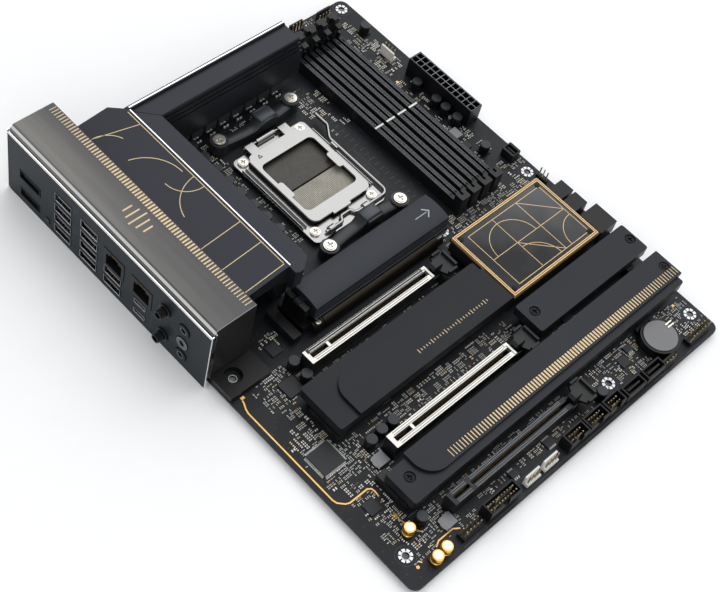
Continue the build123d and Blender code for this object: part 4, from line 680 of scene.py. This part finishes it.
# A lining in each fixing hole, and pads round all of them but the second.
rings = Piece()
for x, y in HOLES:
    if (x, y) != HOLES[1]:
        for step in range(8):
            rings.washer(x, y, 2.35, 3.7, 0, 0.06, 0, 40, ((step + 0.14) / 8, (step + 0.86) / 8))
        rings.washer(x, y, 5.3, 5.5, 0, SKIN, 1)
    rings.washer(x, y, 2.0, 2.3, -1.62, 0.03, 2)
rings.done("fixing_pads", ("audio_top", "silk_faint", "solder_tin"))

# Gold lines and round marks, with small blocks at the start of two lines.
trace = Piece()
GUARD_LINE = [(6, 130), (5.2, 127), (3.6, 123.6), (3.0, 121), (3.0, 60), (3.6, 57.6),
              (6.4, 54.6), (8.6, 53.6), (20.4, 53.6), (22.2, 52.4), (22.6, 50.4), (22.2, 47)]
trace.strip(GUARD_LINE, 0.8, 0, SKIN)
for points in ([(21, 34.5), (21.6, 31), (22.2, 28.4)], [(23.4, 23.4), (24.6, 21.2), (25.8, 20.2)],
               [(25, 10.2), (28.4, 11.8), (38.2, 11.8), (41.4, 9.6)], [(14, 9), (13, 10.6)]):
    trace.strip(points, 0.7, 0, SKIN)
for x, y in ((10.6, 8.6), (234.0, 26.0), (223.6, 235.4), (240.2, 240.4)):
    trace.drum(x, y, ((0.9, 0), (0.9, SKIN)))
trace.box(19.8, 22.2, 33.4, 35.6, 0, 0.5, 0, 0.1)
trace.box(5.2, 7.6, 128.6, 130.4, 0, 0.6, 0, 0.1)
trace.done("gold_traces", ("gold_plate",))


class Ground:
    """Knows where the board's face is bare, seen from above."""

    def __init__(self):
        corners, faces, self.owner = [], [], []
        for name, node in NODES.items():
            first = len(corners)
            corners += [vert.co for vert in node.data.vertices]
            faces += [[first + index for index in face.vertices] for face in node.data.polygons]
            self.owner += [name] * len(node.data.polygons)
        self.tree = BVHTree.FromPolygons(corners, faces)
        self.taken = set()

    def bare(self, x, y):
        spot = to_frame(x, y, 80)
        found = self.tree.ray_cast(Vector(spot), Vector((0, 0, -1)))
        return found[0] is not None and self.owner[found[2]] == "pcb" \
            and abs(to_board(found[0])[2]) < 0.1

    def claim(self, x, y, w, d, gap=0.25):
        """Takes the place of a part if all of it is bare and free."""
        if min(x, y) < 2.0 or x > BOARD_X1 - 2 or y > BOARD_Y1 - 2:
            return False
        if any(math.hypot(x - a, y - b) < 6.0 for a, b in HOLES):
            return False
        across, along = (range(math.floor((middle - size / 2 - gap) * 2),
                               math.floor((middle + size / 2 + gap) * 2) + 1)
                         for middle, size in ((x, w), (y, d)))
        cells = {(i, j) for i in across for j in along}
        if cells & self.taken:
            return False
        wide, deep = w / 2 + 0.3, d / 2 + 0.3
        if not all(self.bare(x + i * wide, y + j * deep)
                   for i, j in ((0, 0), (-1, -1), (1, -1), (1, 1), (-1, 1))):
            return False
        self.taken |= cells
        return True


ground = Ground()
for x, y in GUARD_LINE:
    ground.claim(x, y, 1.5, 1.5)
for k in range(len(GUARD_LINE) - 1):
    (ax, ay), (bx, by) = GUARD_LINE[k:k + 2]
    steps = max(1, int(math.hypot(bx - ax, by - ay)))
    for s in range(steps):
        ground.claim(ax + (bx - ax) * s / steps, ay + (by - ay) * s / steps, 1, 1, 0.1)

dice = random.Random(20)
PASSIVES = ((1.05, 0.55, 0.42), (1.6, 0.85, 0.55), (2.1, 1.3, 0.85))
small = Piece()
silk = Piece()


def passive(x, y, along_x, kind, mark):
    """A chip resistor or capacitor with tinned ends."""
    length, width, tall = PASSIVES[kind]
    end = length * 0.33
    metal = 4 if dice.random() < 0.1 else 0
    size = (length, width) if along_x else (width, length)
    if ground.claim(x, y, *size, 0.1):
        small.lying(x, y, 0, length - 2 * end, width * 0.94, along_x, 0, tall * 0.96, mark)
        for side in (-1, 1):
            small.lying(x, y, side * (length - end) / 2, end, width, along_x, 0, tall, metal,
                        0.06)


def row_of_passives(x, y, columns, rows, along_x, kind, mark, keep=0.9):
    """A block of equal parts side by side, with a few places left empty."""
    length, width, _ = PASSIVES[kind]
    step = width + 0.55
    lane = length + 0.7
    for column in range(columns):
        for row in range(rows):
            if dice.random() > keep:
                continue
            near, far = column * step, row * lane
            spot = (x + far, y + near) if along_x else (x + near, y + far)
            passive(*spot, along_x, kind, mark)


# rear, front, bottom and top limits of each populated field, with its number of blocks
FIELDS = (
    (12, 46, 84, 130, 90), (4, 34, 62, 92, 70), (24, 62, 52, 80, 44), (8, 34, 34, 58, 60),
    (8, 50, 8, 34, 70), (44, 150, 66, 80, 56), (60, 150, 12, 17, 40), (44, 150, 24, 29, 34),
    (158, 224, 130, 147, 90), (214, 231, 236, 300, 50), (216, 231, 150, 236, 44),
    (150, 230, 18, 30, 60), (170, 200, 10, 22, 24), (212, 240, 8, 33, 44),
    (150, 232, 52, 58, 20), (134, 152, 55, 70, 26), (36, 150, 110, 118, 40),
    (32, 56, 140, 152, 12), (84, 98, 182, 262, 30), (84, 164, 252, 264, 40),
    (158, 178, 226, 262, 14), (176, 214, 286, 303, 34), (44, 80, 290, 303, 12),
    (100, 150, 160, 172, 14), (226, 242, 122, 150, 20),
)
for x0, x1, y0, y1, blocks in FIELDS:
    for _ in range(blocks):
        kind = dice.choice((0, 0, 0, 1))
        mark = dice.choice((1, 1, 2, 3, 2))
        along_x = dice.random() < 0.5
        columns, rows = dice.randint(2, 8), dice.randint(1, 3)
        row_of_passives(dice.uniform(x0, x1), dice.uniform(y0, y1), columns, rows, along_x,
                        kind, mark)
    for _ in range(blocks // 2):
        passive(dice.uniform(x0, x1), dice.uniform(y0, y1), dice.random() < 0.5,
                dice.choice((0, 1, 2)), dice.choice((1, 2, 3)))
# Even rows beside the middle expansion slot.
for x in range(62, 130, 2):
    passive(x, 78.6, False, 1, 1)
    if x % 6:
        passive(x + 0.6, 70.4, False, 0, 1)
small.done("small_parts", ("solder_tin", "resistor_black", "capacitor_tan", "capacitor_grey",
                            "gold_end"), smooth=20)


def lead_frame(piece, x, y, half_x, half_y, pitch, reach, sides=(0, 1, 2, 3)):
    """Gull-wing leads along the sides of a chip."""
    for side in sides:
        along = half_y if side % 2 == 0 else half_x
        count = int((2 * along - pitch) / pitch)
        for k in range(count):
            offset = (k - (count - 1) / 2) * pitch
            wide = pitch * 0.5
            near = half_x if side % 2 == 0 else half_y
            sign = 1 if side < 2 else -1
            for a0, a1, h0, h1 in ((near, near + reach * 0.45, 0.45, 0.62),
                                   (near + reach * 0.4, near + reach * 0.55, 0.05, 0.62),
                                   (near + reach * 0.5, near + reach, 0, 0.18)):
                low, high = sorted((sign * a0, sign * a1))
                if side % 2 == 0:
                    piece.box(x + low, x + high, y + offset - wide / 2, y + offset + wide / 2,
                              h0, h1)
                else:
                    piece.box(x + offset - wide / 2, x + offset + wide / 2, y + low, y + high,
                              h0, h1)


leads = Piece()
lead_frame(leads, 15.6, 78.4, 7.0, 7.0, 0.5, 1.5)
lead_frame(leads, 190.0, 24.0, 2.6, 2.0, 1.27, 1.2, (1, 3))
lead_frame(leads, 84.0, 12.6, 2.6, 2.0, 1.27, 1.2, (1, 3))
lead_frame(leads, 112.0, 13.2, 3.0, 2.4, 0.65, 1.0, (1, 3))
leads.done("chip_leads", ("lead_tin",), smooth=20)


def silk_dashes(x, y, count, mark=1, size=(0.9, 0.5)):
    """A short row of printed ticks beside a part."""
    for k in range(count):
        long = size[0] * (0.6 + 0.4 * ((k * 7) % 3) / 2)
        silk.around(x + k * 1.3, y, long, size[1], 0, PRINT, mark)


for k in range(26):
    silk.around(169.4, 160.0 + 4.2 * k, 3.2 if k % 5 else 4.6, 0.34, 0, PRINT, 1)
for limits in ((159.6, 165.2, 192, 214), (162.4, 163.4, 198, 208), (229.5, 237.6, 245.6, 262.4),
               (52, 79, 1.2, 11), (113.4, 161.4, 1.2, 11), (80, 112, 1.4, 8.4),
               (196, 241, 0.8, 29)):
    silk.frame(*limits, 0.18, 0, PRINT, 1)
for k in range(7):
    silk_dashes(36 + 30 * k, 1.2, 8)
for x, y in ((60, 82.6), (20, 100), (36, 66), (14, 59), (26, 30), (228, 268), (170, 140),
             (206, 135), (186, 14), (88, 180), (20, 122)):
    silk_dashes(x, y, 5, mark=0, size=(0.8, 0.16))
for k in range(8):
    silk.washer(89.2, 194 + 10.2 * k, 3.6, 3.8, 0, PRINT, 1)
silk.done("silkscreen", ("silk_white", "silk_faint"))


# ---- memory slots -------------------------------------------------------------------------
DIMM_X0 = span("dimm_slots")[0]
DIMM_TOP = 8.6
DIMM_PITCH = 9.27
DIMM_KEY_Y = 212.5
ribs = Piece()
for number in range(4):
    x = DIMM_X0 + 3.4 + DIMM_PITCH * number
    for y0, y1 in ((153.4, DIMM_KEY_Y - 1.4), (DIMM_KEY_Y + 1.4, 272.0)):
        for offset, wide in ((2.75, 0.15), (1.95, 0.17), (1.1, 0.15)):
            for rib in (x - offset, x + offset):
                ribs.box(rib - wide / 2, rib + wide / 2, y0, y1, DIMM_TOP, DIMM_TOP + SKIN)
    ribs.around(x, DIMM_KEY_Y, 6.7, 1.2, 8.3, DIMM_TOP + 0.25, 1, 0.1)
ribs.done("memory_slot_lines", ("plastic_line", "white_nylon"), smooth=20)


# ---- expansion slots ----------------------------------------------------------------------
SLOT_X0, SLOT_KEY_X = span("pcie_slots")[0], 56.7
slots = Piece()
for number, y in enumerate(SLOT_YS):
    shielded = number < 2
    top = SHIELD[5] if shielded else span("pcie_slots")[5]
    for side in (-1, 1):
        if shielded:
            mark = 3 if side > 0 and number == 0 else 0
            if mark:
                slots.box(SLOT_X0 + 1.4, 128.2, y + 1.62, y + 4.1, top, top + 0.04, 4)
            for offset in (2.1, 3.35):
                slots.around(SLOT_X0 + 44, y + side * offset, 82, 0.26, top, top + 0.08, mark)
        for k in range(82):
            x = SLOT_X0 + 3.2 + k
            if abs(x - SLOT_KEY_X) < 1.6:
                continue
            slots.around(x, y + side * 0.86, 0.45, 0.14, 6.0, 8.6, 1)
            if not shielded:
                slots.around(x, y + side * 2.0, 0.55, 0.5, top, top + 0.06, 2)
                slots.around(x, y + side * 3.1, 0.5, 0.6, top, top + 0.05, 2)
    if shielded:
        slots.around(SLOT_KEY_X, y, 1.8, 3.0, top - 1.0, top - 0.1, 3, 0.1)
        slots.around(SLOT_X0 + 1.0, y, 2.0, 3.1, top - 1.2, top - 0.02, 3)
        slots.box(129.9, 131.3, y - 4.0, y + 4.0, top - 3.0, top + 0.5, 3, 0.1)
        slots.box(128.4, 130.0, y + 2.4, y + 4.0, top - 3.0, top + 0.5, 3, 0.1)
slots.done("expansion_slot_contacts", ("jack_core_and_recess_shade", "gold_plate", "plastic_line", "slot_shield",
                                       "slot_plastic"), smooth=20)


# ---- processor socket ---------------------------------------------------------------------
WINDOW = (108.8, 192.5)
CONTACT_PITCH = 0.985
field = Piece()
for column in range(38):
    for row in range(38):
        x = WINDOW[0] + 1.2 + column * CONTACT_PITCH
        y = WINDOW[1] + 1.2 + row * CONTACT_PITCH
        if abs(y - FIELD_SPLIT_Y) < 0.9:
            continue
        field.around(x, y, 0.42, 0.5, 3.2, 3.34, int(y < FIELD_SPLIT_Y))
field.done("socket_contacts", ("field_dot", "cream_dot"), smooth=20)

rails = Piece()
for x in (100.4, 102.8, 152.0, 153.2):
    rails.box(x - 0.3, x + 0.3, 186.5, 236, 3.5, 5.4, 0, 0.15)
rails.done("socket_rails", ("nickel_steel",))

mark_piece = Piece()
mark_piece.strip([(112.4, 236.0), (114.6, 236.0), (113.5, 238.0)], 0.5, 7.0, 7.04, 0, True)
mark_piece.done("first_pin_mark", ("carrier_bronze",), body="load_plate")


# ---- rear panel and its cover -------------------------------------------------------------
COVER = span("io_cover")
# Scale marks, widest in the middle, and five bars.
comb = Piece()
ticks = 76
for k in range(ticks):
    y = COVER[2] + 3.4 + k * (COVER[3] - COVER[2] - 6.8) / (ticks - 1)
    share = math.sin(math.pi * (k + 0.5) / ticks)
    comb.around(22.6, y, 4.6, 0.45 + 0.6 * share, COVER[5], COVER[5] + SKIN)
for k, long in enumerate((6, 9, 12, 9, 6)):
    comb.around(12.4, 214 + 4 * k, long, 0.9, COVER[5], COVER[5] + SKIN)
comb.done("cover_scale_marks", ("gold_ink",), smooth=20)
end_edge = Piece()
end_edge.strip([(COVER[0] + 1, COVER[2] + 0.3), (COVER[1] - 0.5, COVER[2] + 0.3)], 0.4,
               COVER[5] - 0.1, COVER[5] + 0.02)
end_edge.done("cover_end_line", ("plastic_line",))

plate = span("rear_io_plate")
# Painted highlights along the edges of the rear panel.
panel_highlights = Piece()
panel_highlights.box(-3.3, -2.0, plate[2], plate[3], 40.25, 41.3, 0, 0.3)
panel_highlights.strip([(-0.9, plate[2]), (-0.9, plate[3])], 1.1, 43.72, 43.95, rise=lambda x, y: x + 0.8)
for y in (plate[2] - 0.7, plate[3] + 0.1):
    panel_highlights.box(-3.2, -1.9, y, y + 0.6, -4.2, 42.4, 0)
    panel_highlights.box(-1.2, -0.3, y, y + 0.6, 4.0, 43.4, 0)
panel_highlights.done("panel_edge_highlights", ("painted_highlight",))

# Cover screw heads, each with a near-black cross on top: painted shade in the cross recess.
bosses = Piece()
for y in (152, 201, 250, 298):
    bosses.drum(2.4, y, ((2.2, 41.0), (2.2, 41.9), (1.6, 42.3)), 0)
    for w, d in ((2.4, 0.5), (0.5, 2.4)):
        bosses.around(2.4, y, w, d, 42.3, 42.36, 1)
bosses.done("cover_screws", ("screw_steel", "jack_core_and_recess_shade"))


def on_plate(y, h, out):
    """Places on the rear panel: y and h on its face, out towards the rear."""
    return plate[0] - out, y, h


ports = Piece(on_plate)


def outline(y, h, wide, tall, *rest):
    """A rectangular frame that stands on the rear panel."""
    ports.frame(y - wide / 2, y + wide / 2, h - tall / 2, h + tall / 2, *rest)


for y, heights in ((220.2, (2.95, 11.45)), (239.6, (2.95, 11.45, 19.95, 28.45)),
                   (260.6, (2.95, 11.45, 19.95, 28.45))):
    for h in heights:
        outline(y, h, 13.1, 5.5, 0.22, 0.2, 0.34, 4)
        # A painted highlight along the lower inside edge of each port, where its metal shell is
        # lit from above.
        ports.box(y - 6.2, y + 5.4, h - 2.66, h - 2.2, -0.6, 0.36, 0)
        ports.box(y - 4.8, y + 4.8, h + 0.2, h + 0.7, -5.0, -0.4, 4)
        for k in range(4):
            ports.box(y - 4.2 + 2.4 * k, y - 3.2 + 2.4 * k, h - 0.02, h + 0.2, -5.0, -1.6, 1)
for h in (2.4, 10.4):
    outline(198.4, h, 8.7, 2.9, 0.2, 0.2, 0.34, 4)
    # A painted highlight along the lower inside edge of these smaller ports too.
    ports.box(194.6, 202.2, h - 1.5, h - 1.2, -0.4, 0.36, 0)
for y in (198.2, 219.8):
    for k in range(8):
        ports.box(y - 3.9 + 1.02 * k, y - 3.6 + 1.02 * k, 23.6, 24.4, -8.0, -1.0, 1)
outline(209.2, 7.0, 40, 13.6, 0.22, 0, 0.03, 2)
for h, ring in ((4.6, 5), (14.9, 3), (26.0, 5)):
    ports.washer(166.0, h, 1.95, 2.2, 0.2, 0.8, 4)
    ports.washer(166.0, h, 2.15, 3.3, 0.2, 0.6, ring)
    ports.washer(166.0, h, 3.3, 3.85, 0.2, 0.7, 5 if ring == 5 else 4)
for y, h in ((172, 9), (172, 20), (186, 13), (190, 33), (208, 33), (229, 8), (229, 24), (249, 16),
             (249, 32), (269, 20), (276, 8), (300, 12), (300, 24)):
    for k in range(3):
        ports.box(y + 1.3 * k, y + 0.9 + 1.3 * k, h, h + 0.5, 0, 0.03, 2)
ports.done("port_rims", ("painted_highlight", "gold_plate", "silk_faint", "cell_steel", "plastic_line",
                         "jack_core_and_recess_shade"))

threads = Piece(on_plate)
THREAD_R = 2.6
angles = [2 * math.pi * s / 28 for s in range(28)]
for h in (6.0, 27.0):
    sections = [[(THREAD_R, start), (THREAD_R + 0.2, start + 0.22), (THREAD_R, start + 0.44),
                 (THREAD_R - 0.2, start + 0.44), (THREAD_R - 0.2, start)]
                for start in (1.7 + 0.66 * k for k in range(5))]
    sections.append([(2.95, 0.02), (4.1, 0.02), (4.1, 0.8), (3.6, 1.2), (2.95, 1.2)])
    for section in sections:
        threads.rings([[(180.2 + r * math.cos(a), h + r * math.sin(a), o) for r, o in section]
                       for a in angles], 0, True)
threads.done("antenna_threads", ("antenna_dark",))


# ---- heat spreaders -----------------------------------------------------------------------
SINK = span("vrm_heatsink_rear")
SLOPE_X0, SLOPE_X1 = SINK[0], 53.2
SLOPE_H0, SLOPE_H1 = 42.0, SINK[5]


def slope(x, y):
    """Height of the rear spreader's sloping face."""
    return SLOPE_H0 + (SLOPE_H1 - SLOPE_H0) * (x - SLOPE_X0) / (SLOPE_X1 - SLOPE_X0)


lines = Piece()
for points in (
    [(25.8, 277.4), (52.6, 268.6)], arc(25.8, 262, 15, 90, 20), [(52.4, 158), (52.4, 279)],
    arc(25.8, 232, 24, 72, 0), arc(52.4, 232, 14, 180, 270), arc(52.4, 206, 20, 90, 168),
    [(25.8, 190.4), (52.4, 190.4)], [(25.8, 174.6), (52.4, 174.6)],
    [(25.8, 157.6), (52.4, 157.6)],
):
    lines.strip(points, 0.42, -0.1, SKIN, rise=slope)
lines.done("spreader_line_work", ("gold_ink",))

# Painted highlights along the spreaders' top edges, with a near-black line beside the rear
# spreader's crest.
edge = Piece()
edge.strip([(54.3, 155.3), (54.3, 279.6)], 0.6, 44.9, 45.05, 0)
edge.strip([(53.4, 155.3), (53.4, 279.6)], 0.5, 44.9, 45.04, 1)
edge.strip([(54.8, 281.1), (165.2, 281.1)], 0.8, 44.9, 45.05, 0)
edge.done("spreader_highlight_lines", ("painted_highlight", "jack_core_and_recess_shade"))

LOWER = span("m2_heatsink_lower")
scale = Piece()
marks = 88
for k in range(marks):
    x = 58.6 + k * (240.6 - 58.6) / (marks - 1)
    share = math.sin(math.pi * (k + 0.5) / marks)
    scale.around(x, 37.5, 0.4 + 0.75 * share, 5.0, LOWER[5], LOWER[5] + SKIN)
MIDDLE = span("m2_heatsink_middle")
for k in range(27):
    scale.around(88 + 2 * k, 88.6, 0.4, 2.6 if k % 5 == 0 else 1.4, MIDDLE[5], MIDDLE[5] + SKIN)
scale.done("spreader_scale_marks", ("gold_ink",), smooth=20)

# The far screw of the lower spreader stands in the raised panel: a lining for its hole, and a
# tall head with a cross recess.
HEAD_TOP, FAR_SCREW = span("heatsink_screws")[5], (237.4, 42.6)
tall_head = Piece()
tall_head.washer(*FAR_SCREW, 2.95, 3.15, HEAD_TOP - 1.2, HEAD_TOP + 1.4)
tall_head.washer(*FAR_SCREW, 0.2, 2.75, HEAD_TOP, HEAD_TOP + 1.2)
tall_head.washer(*FAR_SCREW, 1.7, 2.75, HEAD_TOP + 1.2, HEAD_TOP + 1.9)
for k in range(4):
    tall_head.washer(*FAR_SCREW, 0.35, 1.7, HEAD_TOP + 1.2, HEAD_TOP + 1.9,
                     part=(k / 4 + 0.05, k / 4 + 0.2))
tall_head.done("far_screw_head", ("black_screw",))

ARCH_Y0, ARCH_DEPTH, ARCH_H0, ARCH_H1, ARCH_BULGE = 137.6, 19.0, 19.6, 20.6, 6.0


def crown(x, y):
    """Height of the arched top of the upper spreader."""
    share = (y - ARCH_Y0) / ARCH_DEPTH
    chord = ARCH_H0 + (ARCH_H1 - ARCH_H0) * share
    return chord + ARCH_BULGE * share * (1 - share)


pointer = Piece()
pointer.strip([(150.4, 144.0), (153.4, 147.0), (150.4, 150.0)], 0.7, -0.1, 0.07, rise=crown)
pointer.strip([(143.0, 147.0), (151.6, 147.0)], 0.5, -0.1, 0.07, rise=crown)
pointer.done("release_pointer", ("silk_white",), body="upper_spreader")

# Small fittings in front of the upper carrier's rail.
clip = Piece()
clip.box(61.2, 66.0, 134.6, 138.4, 7.4, 7.9, 0, 0.15)
clip.drum(63.6, 136.5, ((1.6, 7.8), (1.6, 8.3), (1.2, 8.6)), 1)
clip.box(153.4, 156.6, 135.4, 138.2, 7.3, 8.0, 1, 0.15)
clip.done("carrier_fittings", ("carrier_bronze", "screw_steel"))

RIM = span("chipset_frame")
glass = Piece()
for inset in (1.15, 2.3):
    glass.frame(RIM[0] + inset, RIM[1] - inset, RIM[2] + inset, RIM[3] - inset, 0.42, RIM[5],
                RIM[5] + SKIN)
GX0, GX1, GY0, GY1, _, GH = span("chipset_window")
ix0, ix1, iy0, iy1 = GX0 + 6.4, GX1 - 1.8, GY0 + 2.2, GY1 - 3.0
LINE = 0.3
glass.frame(ix0, ix1, iy0, iy1, LINE, GH, GH + 0.04)
third = (ix1 - ix0) / 3
middle = (iy0 + iy1) / 2
for points in (
    [(ix0 + third, iy0), (ix0 + third, iy1)], [(ix0 + 2 * third, iy0), (ix0 + 2 * third, iy1)],
    [(ix0, middle), (ix1, middle)],
    arc(ix0 + third, middle, third * 0.8, 0, 180),
    arc(ix0 + third, iy0, third * 0.8, 90, 0),
    [(ix0 + 2 * third, iy1), (ix1, middle)], [(ix0 + 2 * third, iy0), (ix0 + third, middle)],
    arc(ix1, iy0, third * 0.75, 90, 180),
):
    glass.strip(points, LINE, GH, GH + 0.04)
glass.done("window_line_work", ("line_gold",))

CELL_PITCH, CELL_HALF = 4.2, 1.98
INLET_TOP, POWER_TOP = span("atx_power_header")[5], span("cpu_power_headers")[5]
# Rims of the power inlets' cells.
cells = Piece()
for x, y, columns, rows, top in ((237.0, 211.7, 2, 12, INLET_TOP), (90.4, 297.2, 4, 2, POWER_TOP),
                                 (114.4, 297.2, 4, 2, POWER_TOP)):
    for a, b in grid(x, y, columns, rows, CELL_PITCH, CELL_PITCH):
        cells.frame(a - CELL_HALF, a + CELL_HALF, b - CELL_HALF, b + CELL_HALF, 0.18, top,
                    top + 0.04)
cells.done("inlet_cell_rims", ("plastic_line",), smooth=20)

corners = Piece()
for x in (GX0 + 1.9, GX1 - 1.9):
    for y in (GY0 + 1.9, GY1 - 1.9):
        corners.drum(x, y, ((1.5, GH), (1.5, GH + 0.3), (1.1, GH + 0.5)))
corners.done("window_screws", ("black_screw",))


# ---- chokes, coin cell and solder joints --------------------------------------------------
# Two small capacitors with tinned ends stand before each choke.
CHOKE_PITCH = 10
chokes = Piece()
for start, count, along_x in ((169, 10, True), (78, 9, False)):
    for k in range(count):
        for side in (-1, 1):
            beside = start + CHOKE_PITCH * k + side * 1.1 - 1.2
            x, y = (80.6, beside) if along_x else (beside, 269.4)
            chokes.lying(x, y, 0, 2.6, 1.3, along_x, 0, 1.2, 1, 0.15)
            for end in (-1.35, 1.35):
                chokes.lying(x, y, end, 0.7, 1.35, along_x, 0, 1.4, 0, 0.12)
chokes.done("choke_terminals", ("solder_tin", "chip_epoxy"))

cell_clip = Piece()
cell = span("coin_cell")
cell_x, cell_y = (cell[0] + cell[1]) / 2, (cell[2] + cell[3]) / 2
for y0 in (cell_y + 0.2, cell_y + 2.2):
    cell_clip.box(cell_x + 7.0, cell_x + 12.2, y0, y0 + 0.9, cell[5], cell[5] + 0.4, 0, 0.1)
    cell_clip.box(cell_x + 11.6, cell_x + 12.2, y0, y0 + 0.9, 3.0, cell[5] + 0.3, 0)
cell_clip.done("cell_clip", ("screw_steel",))

# Solder under the board, below pin headers and power inlets.
joints = Piece()
for x0, x1, y0, y1, step in ((54.4, 76.6, 2.4, 9.8, 2.54), (232.8, 241, 186.5, 237, 4.2),
                             (82, 99, 293, 301, 4.2), (106, 123, 293, 301, 4.2),
                             (36, 50, 3, 9, 2.54), (219, 238, 3, 9, 2.54)):
    nx, ny = int((x1 - x0) / step), max(1, int((y1 - y0) / step))
    for i in range(nx):
        for j in range(ny):
            joints.drum(x0 + (i + 0.5) * step, y0 + (j + 0.5) * step,
                        ((0.35, -BOARD_T - 0.8), (0.5, -BOARD_T - 0.5), (0.85, -BOARD_T)), 0, 10)
joints.done("solder_joints", ("solder_tin",))


# ---- stage, light and camera --------------------------------------------------------------
low, high = CAD_BOX
centre = (low + high) / 2
floor_mesh = bpy.data.meshes.new("floor")
REACH = 6.0
floor_mesh.from_pydata([(-REACH, -REACH, low.z), (REACH, -REACH, low.z), (REACH, REACH, low.z),
                        (-REACH, REACH, low.z)], [], [(0, 1, 2, 3)])
finish("floor_paper", (250, 250, 250), 0.8, grain=1.5, vary=0.004, relief=0.0, specular=0.1)
floor_mesh.materials.append(LOOKS["floor_paper"])
shown("floor", floor_mesh)

world = bpy.data.worlds.new("studio")
bpy.context.scene.world = world
world.use_nodes = True
sky = world.node_tree.nodes
sky_links = world.node_tree.links
height = sky.new("ShaderNodeSeparateXYZ")
sky_links.new(sky.new("ShaderNodeTexCoord").outputs["Generated"], height.inputs[0])
fade = sky.new("ShaderNodeMapRange")
for socket, number in (("From Min", 0.0), ("From Max", 0.9), ("To Min", 0.56), ("To Max", 0.75)):
    fade.inputs[socket].default_value = number
sky_links.new(height.outputs["Z"], fade.inputs["Value"])
sky_links.new(fade.outputs["Result"], sky["Background"].inputs["Strength"])
sky["Background"].inputs["Color"].default_value = (0.96, 0.98, 1.0, 1)
LAMP_AWAY = 1.6


def softbox(name, way, size, power):
    """A square area light that faces the object from a direction."""
    lamp = bpy.data.lights.new(name, "AREA")
    lamp.shape = "RECTANGLE"
    lamp.size = lamp.size_y = size
    lamp.energy = power
    holder = shown(name, lamp)
    toward = Vector(way).normalized()
    holder.location = centre + toward * LAMP_AWAY
    holder.rotation_mode = "QUATERNION"
    holder.rotation_quaternion = toward.to_track_quat("Z", "Y")


softbox("key_light", (0.75, 0.3, 1.2), 1.9, 15)
softbox("fill_light", (-0.9, -0.9, 0.9), 0.9, 4)

# The lens stands below and to the left of the board, and is turned a little about its own axis.
LENS_MM = 73.47
CAMERA_PLACE = Vector((-0.30432, -0.12091, 0.62972))
FORWARD = Vector((0.50279, 0.31106, -0.80650))
ROLL = math.radians(17.2594)
level_right = FORWARD.cross(Vector((0, 0, 1))).normalized()
level_up = level_right.cross(FORWARD)
right = level_right * math.cos(ROLL) + level_up * math.sin(ROLL)
up = right.cross(FORWARD)
lens = bpy.data.cameras.new("camera")
lens.lens = LENS_MM
lens.sensor_width = 36
lens.clip_start, lens.clip_end = 0.01, 20
camera = shown("camera", lens)
camera.matrix_world = Matrix((
    *((right[i], up[i], -FORWARD[i], CAMERA_PLACE[i]) for i in range(3)), (0, 0, 0, 1)))
bpy.context.scene.camera = camera
bpy.context.scene.view_settings.view_transform = "Standard"
